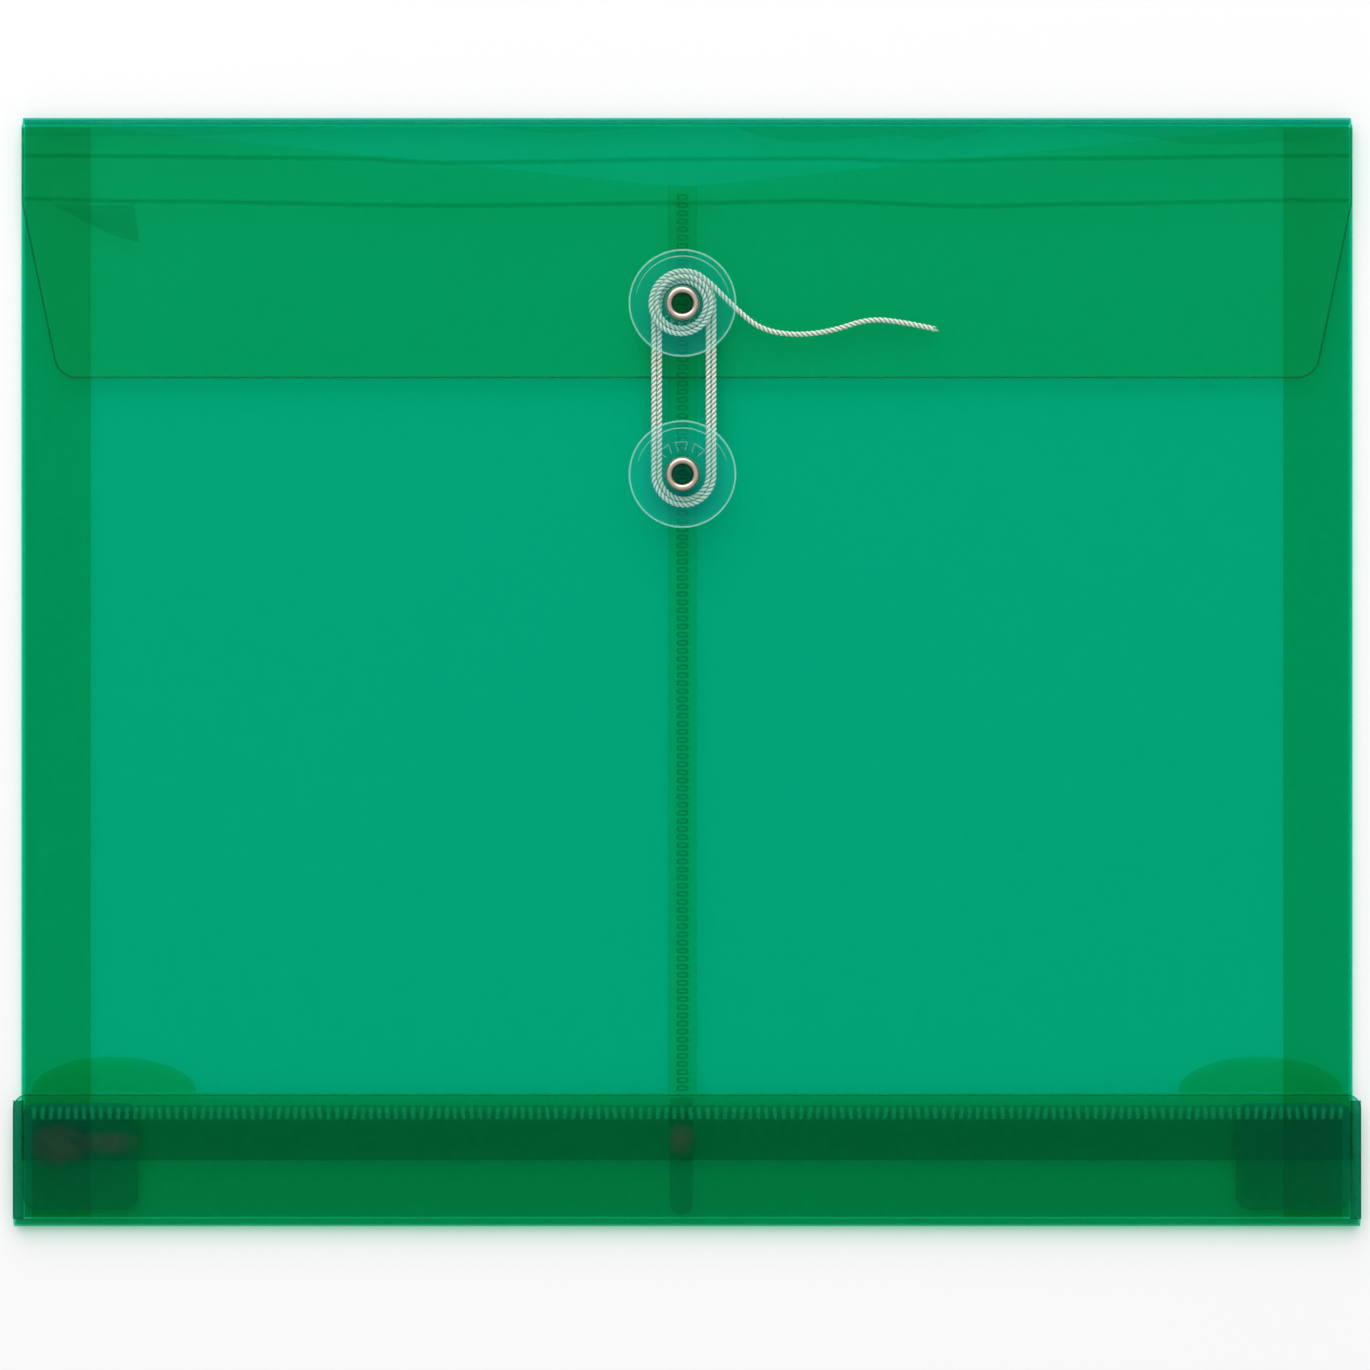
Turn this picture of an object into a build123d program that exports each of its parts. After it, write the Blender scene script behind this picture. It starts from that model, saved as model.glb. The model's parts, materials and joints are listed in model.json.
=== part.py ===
from build123d import *
import math
import os

# String tie envelope of translucent film, empty, lying on its back with the flap tied shut.
# Origin: middle of the back, on the surface it lies on.
# +X runs to the right along the flap's fold, +Y points to that fold, +Z points up.
# All lengths are in millimetres.

os.makedirs("parts", exist_ok=True)

# Film and overall size
envelope_width = 295.0
envelope_height = 246.4
film = 0.35
layer_gap = 0.05

# Side gussets, folded inwards as a flat V on each side
gusset_leaf = 14.6

# Block bottom, folded up flat over the front
base_overhang = 2.0
base_depth = 29.3
base_corner = 3.0
base_inner_depth = 23.7
base_inner_inset = 4.0
front_strip = 12.2
front_edge_gap = 0.5
tuck_width = 25.5
tuck_length = 23.7
tuck_rise = 3.8
tuck_corner = 3.0

# Rounded tab behind each lower corner of the front
tab_width = 36.6
tab_rise = 7.8
tab_inset = 1.7

# Centre lap where the two halves of the front are welded, and the throat above it
lap_half = 3.1
throat_drop = 13.0
throat_ledge = 16.5
throat_side_gap = 0.4

# Closing flap, creased by two score lines
flap_length = 57.8
first_score = 8.6
second_score = 19.1
flap_taper = 8.0
flap_corner = 5.0
score_gap = 0.05

# Buttons, eyelets and backing washers
button_x = -1.0
upper_button_drop = 41.7
button_spacing = 37.8
disc_radius = 12.0
disc_thickness = 0.9
rim_width = 0.8
rim_height = 0.25
rim_rounding = 0.1
hub_radius = 3.7
pocket_count = 8
pocket_inner = 4.6
pocket_outer = 6.6
pocket_rib = 1.3
pocket_depth = 0.25
eyelet_bore = 2.15
eyelet_wall = 0.35
eyelet_lip = 3.85
eyelet_roll = 0.6
eyelet_clinch = 3.5
clinch_thickness = 0.3
spin_clearance = 0.05
washer_radius = 9.2
washer_thickness = 0.3

# String
string_diameter = 1.2
string_clearance = 0.15
turn_step = 2.0
layer_rise = 1.8
string_hub_clearance = 0.2
tail_exit_angle = 40.0

# Heights of the film layers, from the back up
layer_pitch = film + layer_gap
back_leaf_z = layer_pitch
front_leaf_z = back_leaf_z + layer_pitch
tab_z = front_leaf_z + layer_pitch
front_z = tab_z + layer_pitch
lap_z = front_z + layer_pitch
tuck_z = lap_z + layer_pitch
base_inner_z = tuck_z + layer_pitch
base_outer_z = base_inner_z + layer_pitch
flap_z = lap_z + layer_pitch + clinch_thickness + washer_thickness
flap_top = flap_z + film

# Fold lines: each fold is a half round of film that joins the back to the layer above it
right_x = envelope_width / 2
base_width = envelope_width + 2 * base_overhang
throat_half = right_x - throat_ledge
top_fold_radius = flap_top / 2
bottom_fold_radius = (base_outer_z + film) / 2
top_y = envelope_height / 2
bottom_y = -envelope_height / 2
top_axis_y = top_y - top_fold_radius
bottom_axis_y = bottom_y + bottom_fold_radius

# Lines across the front
base_top_y = bottom_y + base_depth
crease_y = bottom_y + base_depth / 2
strip_top_y = crease_y + front_strip
front_bottom_y = base_top_y + front_edge_gap
throat_high_y = top_axis_y - throat_side_gap
throat_low_y = throat_high_y - throat_drop
lap_left_x = button_x - lap_half
lap_right_x = button_x + lap_half

# Flap lines and button places
first_score_y = top_y - first_score
second_score_y = top_y - second_score
flap_tip_y = top_y - flap_length
upper_button_y = top_y - upper_button_drop
lower_button_y = upper_button_y - button_spacing

# String levels and the underside of both discs
string_radius = string_diameter / 2
lower_turn_z = flap_top + string_clearance + string_radius
upper_turn_z = lower_turn_z + layer_rise
disc_z = upper_turn_z + string_radius + string_clearance
disc_top_z = disc_z + disc_thickness

# Eyelet barrel and the holes it passes through
barrel_radius = eyelet_bore + eyelet_wall
film_hole = barrel_radius + spin_clearance

sides = (("left", -1), ("right", 1))


def save(solid, name):
    """Label a finished piece and write it."""
    solid.label = name
    export_step(solid, "parts/" + name + ".step")


# Back panel
with BuildPart() as back_panel:
    with BuildSketch():
        with Locations((0, (top_axis_y + bottom_axis_y) / 2)):
            Rectangle(envelope_width, top_axis_y - bottom_axis_y - 2 * layer_gap)
    extrude(amount=film)
save(back_panel.part, "back_panel")

# Side gussets: two leaves folded flat on each other, joined along the inner crease
gusset_low_y = bottom_axis_y + layer_gap
gusset_length = throat_high_y - gusset_low_y
gusset_mid_y = (throat_high_y + gusset_low_y) / 2
for side_name, side in sides:
    leaf_mid_x = side * (right_x - gusset_leaf / 2)
    crease_mid_x = side * (right_x - gusset_leaf + film / 2)
    with BuildPart() as gusset:
        for leaf_z in (back_leaf_z, front_leaf_z):
            with BuildSketch(Plane.XY.offset(leaf_z)):
                with Locations((leaf_mid_x, gusset_mid_y)):
                    Rectangle(gusset_leaf, gusset_length)
            extrude(amount=film)
        with BuildSketch(Plane.XY.offset(back_leaf_z)):
            with Locations((crease_mid_x, gusset_mid_y)):
                Rectangle(film, gusset_length)
        extrude(amount=front_leaf_z + film - back_leaf_z)
    save(gusset.part, side_name + "_gusset")

# Left half of the front, which runs under the lap
with BuildPart() as front_left:
    with BuildSketch(Plane.XY.offset(front_z)):
        with BuildLine():
            Polyline(
                (-right_x, front_bottom_y),
                (lap_right_x, front_bottom_y),
                (lap_right_x, throat_low_y),
                (lap_left_x, throat_low_y),
                (-throat_half, throat_high_y),
                (-right_x, throat_high_y),
                close=True,
            )
        make_face()
        with Locations((button_x, lower_button_y)):
            Circle(film_hole, mode=Mode.SUBTRACT)
    extrude(amount=film)
save(front_left.part, "front_left_panel")

# Right half of the front, which steps up over the left half as the lap
step_x = lap_right_x + layer_gap
front_mid_y = (front_bottom_y + throat_low_y) / 2
lap_length = throat_low_y - front_bottom_y
with BuildPart() as front_right:
    with BuildSketch(Plane.XY.offset(front_z)):
        with BuildLine():
            Polyline(
                (step_x, front_bottom_y),
                (right_x, front_bottom_y),
                (right_x, throat_high_y),
                (throat_half, throat_high_y),
                (step_x, throat_low_y),
                close=True,
            )
        make_face()
    extrude(amount=film)
    with BuildSketch(Plane.XY.offset(front_z)):
        with Locations((step_x + film / 2, front_mid_y)):
            Rectangle(film, lap_length)
    extrude(amount=lap_z + film - front_z)
    with BuildSketch(Plane.XY.offset(lap_z)):
        with Locations(((step_x + film + lap_left_x) / 2, front_mid_y)):
            Rectangle(step_x + film - lap_left_x, lap_length)
        with Locations((button_x, lower_button_y)):
            Circle(film_hole, mode=Mode.SUBTRACT)
    extrude(amount=film)
save(front_right.part, "front_right_panel")

# Rounded tabs tucked behind the lower corners of the front
for side_name, side in sides:
    tab_mid_x = side * (right_x - tab_inset - tab_width / 2)
    with BuildPart() as corner_tab:
        with BuildSketch(Plane.XY.offset(tab_z)):
            with Locations((tab_mid_x, front_bottom_y)):
                Ellipse(tab_width / 2, tab_rise)
            with Locations((tab_mid_x, front_bottom_y - tab_rise / 2)):
                Rectangle(tab_width, tab_rise, mode=Mode.SUBTRACT)
        extrude(amount=film)
    save(corner_tab.part, side_name + "_corner_tab")

# Lower end of the front: down to the crease, then folded back up under the base
with BuildPart() as lower_fold:
    with BuildSketch(Plane.XY.offset(front_z)):
        with Locations((0, (crease_y + front_bottom_y - layer_gap) / 2)):
            Rectangle(envelope_width, front_bottom_y - layer_gap - crease_y)
    extrude(amount=film)
    with BuildSketch(Plane.XY.offset(lap_z)):
        with Locations((0, (crease_y + strip_top_y) / 2)):
            Rectangle(envelope_width, strip_top_y - crease_y)
    extrude(amount=film)
    with BuildSketch(Plane.XY.offset(front_z)):
        with Locations((0, crease_y + film / 2)):
            Rectangle(envelope_width, film)
    extrude(amount=lap_z + film - front_z)
save(lower_fold.part, "lower_fold")

# Base of the block bottom: the outer flap, the inner flap welded to it and two corner tucks
base_start_y = bottom_axis_y + layer_gap
with BuildPart() as base_outer:
    with BuildSketch(Plane.XY.offset(base_outer_z)) as base_outline:
        with Locations((0, (base_start_y + base_top_y) / 2)):
            Rectangle(base_width, base_top_y - base_start_y)
        fillet(base_outline.vertices().group_by(Axis.Y)[-1], radius=base_corner)
    extrude(amount=film)
save(base_outer.part, "base_outer_flap")

with BuildPart() as base_inner:
    with BuildSketch(Plane.XY.offset(base_inner_z)):
        with Locations((0, base_start_y + base_inner_depth / 2)):
            Rectangle(envelope_width - base_inner_inset, base_inner_depth)
    extrude(amount=film)
save(base_inner.part, "base_inner_flap")

tuck_mid_y = bottom_y + tuck_rise + tuck_length / 2
for side_name, side in sides:
    tuck_mid_x = side * (right_x - tuck_width / 2)
    with BuildPart() as base_tuck:
        with BuildSketch(Plane.XY.offset(tuck_z)):
            with Locations((tuck_mid_x, tuck_mid_y)):
                RectangleRounded(tuck_width, tuck_length, tuck_corner)
        extrude(amount=film)
    save(base_tuck.part, side_name + "_base_tuck")

# Folds: half rounds of film along the top and the bottom edge
folds = (
    ("top_fold", top_axis_y, top_fold_radius, 1),
    ("bottom_fold", bottom_axis_y, bottom_fold_radius, -1),
)
for fold_name, fold_y, fold_radius, outward in folds:
    with BuildPart() as fold:
        with BuildSketch(Plane.YZ.offset(-right_x)):
            with Locations((fold_y, fold_radius)):
                Circle(fold_radius)
                Circle(fold_radius - film, mode=Mode.SUBTRACT)
            with Locations((fold_y - outward * fold_radius / 2, fold_radius)):
                Rectangle(fold_radius, 2 * fold_radius, mode=Mode.SUBTRACT)
        extrude(amount=envelope_width)
    save(fold.part, fold_name)

# Flap: two strips between the fold and the scores, then the tapered panel with its eyelet hole
strips = (
    ("flap_root_strip", top_axis_y - layer_gap, first_score_y),
    ("flap_mid_strip", first_score_y - score_gap, second_score_y),
)
for strip_name, strip_high_y, strip_low_y in strips:
    with BuildPart() as flap_strip:
        with BuildSketch(Plane.XY.offset(flap_z)):
            with Locations((0, (strip_high_y + strip_low_y) / 2)):
                Rectangle(envelope_width, strip_high_y - strip_low_y)
        extrude(amount=film)
    save(flap_strip.part, strip_name)

panel_high_y = second_score_y - score_gap
with BuildPart() as flap_panel:
    with BuildSketch(Plane.XY.offset(flap_z)) as flap_outline:
        with BuildLine():
            Polyline(
                (-right_x, panel_high_y),
                (-right_x + flap_taper, flap_tip_y),
                (right_x - flap_taper, flap_tip_y),
                (right_x, panel_high_y),
                close=True,
            )
        make_face()
        fillet(flap_outline.vertices().group_by(Axis.Y)[0], radius=flap_corner)
        with Locations((button_x, upper_button_y)):
            Circle(film_hole, mode=Mode.SUBTRACT)
    extrude(amount=film)
save(flap_panel.part, "flap_panel")

# Buttons: for each, the clear disc with its hub, the metal eyelet and the backing washer
buttons = (
    ("upper", upper_button_y, flap_z, flap_top),
    ("lower", lower_button_y, front_z, lap_z + film),
)
for button_name, button_y, film_under_z, film_over_z in buttons:
    hub_z = film_over_z + layer_gap
    with BuildPart() as disc:
        with BuildSketch(Plane.XY.offset(hub_z)):
            with Locations((button_x, button_y)):
                Circle(hub_radius)
        extrude(amount=disc_z - hub_z)
        with BuildSketch(Plane.XY.offset(disc_z)):
            with Locations((button_x, button_y)):
                Circle(disc_radius)
        extrude(amount=disc_thickness)
        with BuildSketch(Plane.XY.offset(disc_top_z)):
            with Locations((button_x, button_y)):
                Circle(disc_radius)
                Circle(disc_radius - rim_width, mode=Mode.SUBTRACT)
        extrude(amount=rim_height)
        fillet(disc.edges().group_by(Axis.Z)[-1], radius=rim_rounding)
        with BuildSketch(Plane.XY.offset(disc_top_z)):
            with Locations((button_x, button_y)):
                Circle(pocket_outer)
                Circle(pocket_inner, mode=Mode.SUBTRACT)
                with PolarLocations(0, pocket_count):
                    with Locations((pocket_outer / 2, 0)):
                        Rectangle(pocket_outer, pocket_rib, mode=Mode.SUBTRACT)
        extrude(amount=-pocket_depth, mode=Mode.SUBTRACT)
        with BuildSketch(Plane.XY.offset(hub_z)):
            with Locations((button_x, button_y)):
                Circle(film_hole)
        extrude(amount=disc_top_z - hub_z, mode=Mode.SUBTRACT)
    save(disc.part, button_name + "_button_disc")

    washer_z = film_under_z - washer_thickness
    with BuildPart() as washer:
        with BuildSketch(Plane.XY.offset(washer_z)):
            with Locations((button_x, button_y)):
                Circle(washer_radius)
                Circle(film_hole, mode=Mode.SUBTRACT)
        extrude(amount=washer_thickness)
    save(washer.part, button_name + "_washer")

    clinch_z = washer_z - clinch_thickness
    lip_z = disc_top_z + spin_clearance
    with BuildPart() as eyelet:
        with BuildSketch(Plane.XZ.offset(-button_y)):
            with BuildLine():
                Polyline(
                    (button_x + barrel_radius, lip_z),
                    (button_x + barrel_radius, clinch_z + clinch_thickness),
                    (button_x + eyelet_clinch, clinch_z + clinch_thickness),
                    (button_x + eyelet_clinch, clinch_z),
                    (button_x + eyelet_bore, clinch_z),
                    (button_x + eyelet_bore, lip_z),
                )
                ThreePointArc(
                    (button_x + eyelet_bore, lip_z),
                    (button_x + (eyelet_bore + eyelet_lip) / 2, lip_z + eyelet_roll),
                    (button_x + eyelet_lip, lip_z),
                )
                Line(
                    (button_x + eyelet_lip, lip_z),
                    (button_x + barrel_radius, lip_z),
                )
            make_face()
        revolve(axis=Axis((button_x, button_y, 0), (0, 0, 1)))
    save(eyelet.part, button_name + "_eyelet")

# String: two loops round both hubs spiral in, the last turn climbs under the upper disc,
# and the turns on that level spiral out again to the tail
inner_turn = hub_radius + string_hub_clearance + string_radius
half_step = turn_step / 2
exit_turn = inner_turn + 3 * half_step


def turn_point(offset, hub_y, level):
    """A point beside a hub, where a straight strand meets a turn."""
    return Vector(button_x + offset, hub_y, level)


def turn_middle(start, end, way):
    """The point halfway round a half turn, above or below its hub."""
    middle = (start + end) / 2
    return middle + Vector(0, way * (end - start).length / 2, 0)


start_offset = inner_turn + 3 * half_step
start_radius = start_offset + half_step / 2
start_corner = Vector(button_x - half_step / 2, upper_button_y + start_radius, lower_turn_z)
strand_ends = (
    (start_offset, -(inner_turn + 2 * half_step)),
    (inner_turn + half_step, -inner_turn),
)
climb_turns = (inner_turn, -(inner_turn + half_step), inner_turn + 2 * half_step, -exit_turn)

with BuildPart() as tie_string:
    with BuildLine() as string_route:
        route_start = start_corner - Vector(string_diameter, 0, 0)
        Line(route_start, start_corner)
        here = turn_point(start_offset, upper_button_y, lower_turn_z)
        RadiusArc(start_corner, here, start_radius)
        for strand_number, (down_offset, up_offset) in enumerate(strand_ends):
            if strand_number > 0:
                arrival = turn_point(down_offset, upper_button_y, lower_turn_z)
                ThreePointArc(here, turn_middle(here, arrival, 1), arrival)
                here = arrival
            low_right = turn_point(down_offset, lower_button_y, lower_turn_z)
            low_left = turn_point(up_offset, lower_button_y, lower_turn_z)
            high_left = turn_point(up_offset, upper_button_y, lower_turn_z)
            Line(here, low_right)
            ThreePointArc(low_right, turn_middle(low_right, low_left, -1), low_left)
            Line(low_left, high_left)
            here = high_left
        way = 1
        for turn_offset in climb_turns:
            arrival = turn_point(turn_offset, upper_button_y, upper_turn_z)
            ThreePointArc(here, turn_middle(here, arrival, way), arrival)
            here = arrival
            way = -way
        exit_angle = math.radians(tail_exit_angle)
        exit_heading = Vector(math.sin(exit_angle), -math.cos(exit_angle), 0)
        exit_side = Vector(math.cos(exit_angle), math.sin(exit_angle), 0)
        exit_centre = turn_point(half_step / 2, upper_button_y, upper_turn_z)
        half_exit = math.radians((180 + tail_exit_angle) / 2)
        half_side = Vector(math.cos(half_exit), math.sin(half_exit), 0)
        exit_radius = exit_turn + half_step / 2
        exit_middle = exit_centre + half_side * exit_radius
        exit_point = exit_centre + exit_side * exit_radius
        ThreePointArc(here, exit_middle, exit_point)
        tail_start = exit_point + exit_heading * string_diameter
        Line(exit_point, tail_start)
    with BuildSketch(Plane(origin=route_start, z_dir=start_corner - route_start)):
        Circle(string_radius)
    sweep()
save(tie_string.part, "tie_string")

# Tail of the string: from under the upper disc it drops to the flap and lies there in a loose wave
tail_first_run = 7.4
tail_points = [
    (16.3, 75.9, 5.0),
    (23.6, 74.6, 4.4),
    (32.0, 75.5, 4.25),
    (40.0, 78.3, 4.3),
    (47.5, 77.7, 4.2),
    (54.8, 76.1, 4.2),
]
tail_route = [tail_start, tail_start + exit_heading * tail_first_run]
tail_route += [Vector(point) for point in tail_points]
corner_share = 0.45
tail_radii = []
for before, corner, after in zip(tail_route, tail_route[1:], tail_route[2:]):
    run_in = corner - before
    run_out = after - corner
    half_turn = math.radians(run_in.get_angle(run_out) / 2)
    tail_radii.append(corner_share * min(run_in.length, run_out.length) / math.tan(half_turn))
with BuildPart() as string_tail:
    with BuildLine() as tail_line:
        FilletPolyline(*tail_route, radius=tail_radii)
    with BuildSketch(Plane(origin=tail_start, z_dir=exit_heading)):
        Circle(string_radius)
    sweep()
save(string_tail.part, "string_tail")

# Figures for the string: its lengths, bends, volumes and the least gap between its turns
string_area = math.pi * string_radius**2
strings = (
    ("tie_string", tie_string.part, string_route.wire()),
    ("string_tail", string_tail.part, tail_line.wire()),
)
for string_name, string_solid, route in strings:
    share = string_solid.volume / (string_area * route.length)
    print(f"{string_name}: length {route.length:.1f}, volume over section times length {share:.4f}")
print("tail starts at", tail_start)
print("tail radii", [round(radius, 1) for radius in tail_radii])

sample_step = string_radius / 2
near_length = 3 * string_diameter
whole_route = string_route.wire()
sample_count = int(whole_route.length / sample_step)
samples = [whole_route @ (number / sample_count) for number in range(sample_count + 1)]
apart = int(near_length / sample_step)
least_gap = min(
    (samples[first] - samples[second]).length - string_diameter
    for first in range(len(samples))
    for second in range(first + apart, len(samples))
)
print(f"least gap between turns {least_gap:.2f}")
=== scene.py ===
"""String tie envelope of translucent green film, lying on its back with the flap tied shut."""

from __future__ import annotations

import json
import logging
import math
import random
from collections.abc import Callable, Iterable, Sequence
from dataclasses import dataclass, field
from enum import Enum
from functools import cached_property

import bmesh
import bpy
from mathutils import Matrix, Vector

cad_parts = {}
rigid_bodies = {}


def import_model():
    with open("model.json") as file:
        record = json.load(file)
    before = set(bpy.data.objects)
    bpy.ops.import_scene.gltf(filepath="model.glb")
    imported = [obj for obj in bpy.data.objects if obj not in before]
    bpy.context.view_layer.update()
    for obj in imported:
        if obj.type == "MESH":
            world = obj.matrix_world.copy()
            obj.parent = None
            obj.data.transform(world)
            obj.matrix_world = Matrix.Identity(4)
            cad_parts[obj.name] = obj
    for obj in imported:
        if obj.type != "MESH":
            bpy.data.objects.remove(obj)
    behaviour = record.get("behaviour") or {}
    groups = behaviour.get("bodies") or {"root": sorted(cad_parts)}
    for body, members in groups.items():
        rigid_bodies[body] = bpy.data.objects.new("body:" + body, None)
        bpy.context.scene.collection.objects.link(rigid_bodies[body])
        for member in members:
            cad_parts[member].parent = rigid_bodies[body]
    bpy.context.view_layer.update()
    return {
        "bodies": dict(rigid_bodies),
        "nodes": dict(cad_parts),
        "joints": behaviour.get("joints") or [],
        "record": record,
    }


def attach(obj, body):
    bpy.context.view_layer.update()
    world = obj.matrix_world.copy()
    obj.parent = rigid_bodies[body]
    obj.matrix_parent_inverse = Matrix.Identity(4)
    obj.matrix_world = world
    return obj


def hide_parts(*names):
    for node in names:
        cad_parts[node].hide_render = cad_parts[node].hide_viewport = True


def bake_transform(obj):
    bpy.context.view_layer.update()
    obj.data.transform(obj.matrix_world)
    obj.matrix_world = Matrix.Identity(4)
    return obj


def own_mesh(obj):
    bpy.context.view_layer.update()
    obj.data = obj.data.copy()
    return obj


LOG = logging.getLogger("envelope")
MM = 0.001
GROOVE_SHADE = "groove"
WHITE = (1.0, 1.0, 1.0)
SMOKE = (0.0, 0.1, 0.05)
BROWN = (0.05, 0.09, 0.055)
Colour = tuple[float, float, float]
Spot = tuple[float, float, float]
Flat = tuple[float, float]
Face = tuple[int, ...]
Socket = bpy.types.NodeSocket


class Slot(Enum):
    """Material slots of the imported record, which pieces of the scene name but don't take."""

    FILM = "green_film"
    CLEAR = "clear_button"
    STRING = "white_string"


class Side(Enum):
    """The two sides of the envelope, as the sign of x."""

    LEFT = -1
    RIGHT = 1


class NodeTree:
    """A material's shader nodes, made and wired one by one.

    Attributes:
        noise_grain: How strong a noise's finer octaves are.
        noise_middle: Values of a noise between which most of it lies.
    """

    noise_grain: float = 0.55
    noise_middle: Flat = (0.3, 0.7)

    def __init__(self, name: str) -> None:
        """Start an empty material.

        Args:
            name: Name of the material.
        """
        self.material = bpy.data.materials.new(name)
        self.material.use_nodes = True
        self.tree = self.material.node_tree
        self.tree.nodes.clear()
        self.output = self.node("ShaderNodeOutputMaterial")

    def node(self, kind: str, **sockets: object) -> bpy.types.Node:
        """Add a node and set its sockets.

        Args:
            kind: Blender's name of the node type.
            sockets: Values by socket name, with underscores for spaces.

        Returns:
            The new node.
        """
        made = self.tree.nodes.new(kind)
        for name, value in sockets.items():
            made.inputs[name.replace("_", " ")].default_value = value
        return made

    def link(self, start: Socket, end: Socket) -> None:
        """Wire one socket to another."""
        self.tree.links.new(start, end)

    def noise(self, scale: float, detail: float = 3.0) -> Socket:
        """Noise in the object's own space.

        Args:
            scale: Repeats in a metre.
            detail: Number of finer octaves.

        Returns:
            The socket of the noise's value.
        """
        place = self.node("ShaderNodeTexCoord")
        made = self.node("ShaderNodeTexNoise", Scale=scale, Detail=detail, Roughness=self.noise_grain)
        self.link(place.outputs["Object"], made.inputs["Vector"])
        return made.outputs["Fac"]

    def between(self, share: Socket, first: Colour | Socket, second: Colour) -> Socket:
        """A colour that varies between two.

        Args:
            share: Socket of the share of the second colour.
            first: Colour at 0, or its socket.
            second: Colour at 1.

        Returns:
            The socket of the mixed colour.
        """
        mix = self.tree.nodes.new("ShaderNodeMix")
        mix.data_type = "RGBA"
        share_in, first_in, second_in = mix.inputs[0], mix.inputs[6], mix.inputs[7]
        self.link(share, share_in)
        if isinstance(first, tuple):
            first_in.default_value = (*first, 1.0)
        else:
            self.link(first, first_in)
        second_in.default_value = (*second, 1.0)
        return mix.outputs[2]

    def spread(self, share: Socket, low: float, high: float) -> Socket:
        """A number that varies between two, with the middle of a noise drawn out.

        Args:
            share: Socket of the noise.
            low: Number where the noise is low.
            high: Number where it is high.

        Returns:
            The socket of the number.
        """
        first, last = self.noise_middle
        made = self.node("ShaderNodeMapRange", From_Min=first, From_Max=last, To_Min=low, To_Max=high)
        self.link(share, made.inputs["Value"])
        return made.outputs["Result"]

    def bump(self, height: Socket, strength: float, distance: float) -> Socket:
        """A bumped normal.

        Args:
            height: Socket of the height.
            strength: Strength of the bump.
            distance: Height of the bump in metres.

        Returns:
            The socket of the normal.
        """
        made = self.node("ShaderNodeBump", Strength=strength, Distance=distance)
        self.link(height, made.inputs["Height"])
        return made.outputs["Normal"]

    def mixed(self, share: float | Socket, first: bpy.types.Node, second: bpy.types.Node) -> bpy.types.Node:
        """Two shaders mixed.

        Args:
            share: Share of the second, a number or a socket.
            first: Node of the first shader.
            second: Node of the second shader.

        Returns:
            The mix node.
        """
        made = self.node("ShaderNodeMixShader")
        if isinstance(share, float):
            made.inputs[0].default_value = share
        else:
            self.link(share, made.inputs[0])
        self.link(first.outputs[0], made.inputs[1])
        self.link(second.outputs[0], made.inputs[2])
        return made

    def finish(self, shader: bpy.types.Node) -> bpy.types.Material:
        """Wire the last shader to the output and return the material."""
        self.link(shader.outputs[0], self.output.inputs["Surface"])
        return self.material


@dataclass(frozen=True)
class ClearFinish:
    """Clear moulded plastic with a faint milky body.

    Attributes:
        name: Name of the material.
        tint: Colour that each face lets through.
        haze: Share of the light that each face scatters.
        body: Colour of the scattered light.
        drift: Share of the body's colour that comes and goes, below 0 where it grows paler.
        gloss: How strongly it shines at a low angle.
        cloud: Repeats of the drift in a metre, and its finer octaves.
        index: Refractive index of the body.
        rough: Least and most roughness of the body.
        shine: Colour of the shine.
        shine_rough: Roughness of the shine.
    """

    name: str
    tint: Colour
    haze: float
    body: Colour
    drift: float = -0.08
    gloss: float = 0.05
    cloud: Flat = (180.0, 2.0)
    index: float = 1.49
    rough: Flat = (0.1, 0.18)
    shine: Colour = WHITE
    shine_rough: float = 0.08

    def through(self) -> Colour:
        """Colour that one face lets through."""
        return self.tint

    def make(self) -> bpy.types.Material:
        """Make a material that is clear, scatters a little and shines at a low angle.

        Returns:
            The material.
        """
        tree = NodeTree(self.name)
        cloud = tree.noise(*self.cloud)
        clear = tree.node("ShaderNodeBsdfTransparent", Color=(*self.through(), 1.0))
        solid = tree.node("ShaderNodeBsdfPrincipled", IOR=self.index)
        drifted = tuple(min(1.0, part * (1 - self.drift)) for part in self.body)
        tree.link(tree.between(cloud, self.body, drifted), solid.inputs["Base Color"])
        tree.link(tree.spread(cloud, *self.rough), solid.inputs["Roughness"])
        shine = tree.node("ShaderNodeBsdfGlossy", Roughness=self.shine_rough, Color=(*self.shine, 1.0))
        edge = tree.node("ShaderNodeLayerWeight", Blend=self.gloss)
        body = tree.mixed(self.haze, clear, solid)
        return tree.finish(tree.mixed(edge.outputs["Facing"], body, shine))


@dataclass(frozen=True)
class FilmFinish(ClearFinish):
    """Tinted film. Its tint is what a layer leaves of white light that goes down and up through it.

    Attributes:
        faces_met: Faces that the light meets on that way.
    """

    body: Colour = (0.0, 0.2, 0.1)
    drift: float = 0.2
    gloss: float = 0.02
    cloud: Flat = (26.0, 1.0)
    index: float = 1.35
    rough: Flat = (0.26, 0.4)
    shine: Colour = (0.9, 1.0, 0.96)
    shine_rough: float = 0.24
    faces_met: int = 4

    def through(self) -> Colour:
        """Colour that one face lets through, of all that light meets on its way down and up."""
        return tuple(min(1.0, part ** (1 / self.faces_met) / (1 - self.haze)) for part in self.tint)


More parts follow.
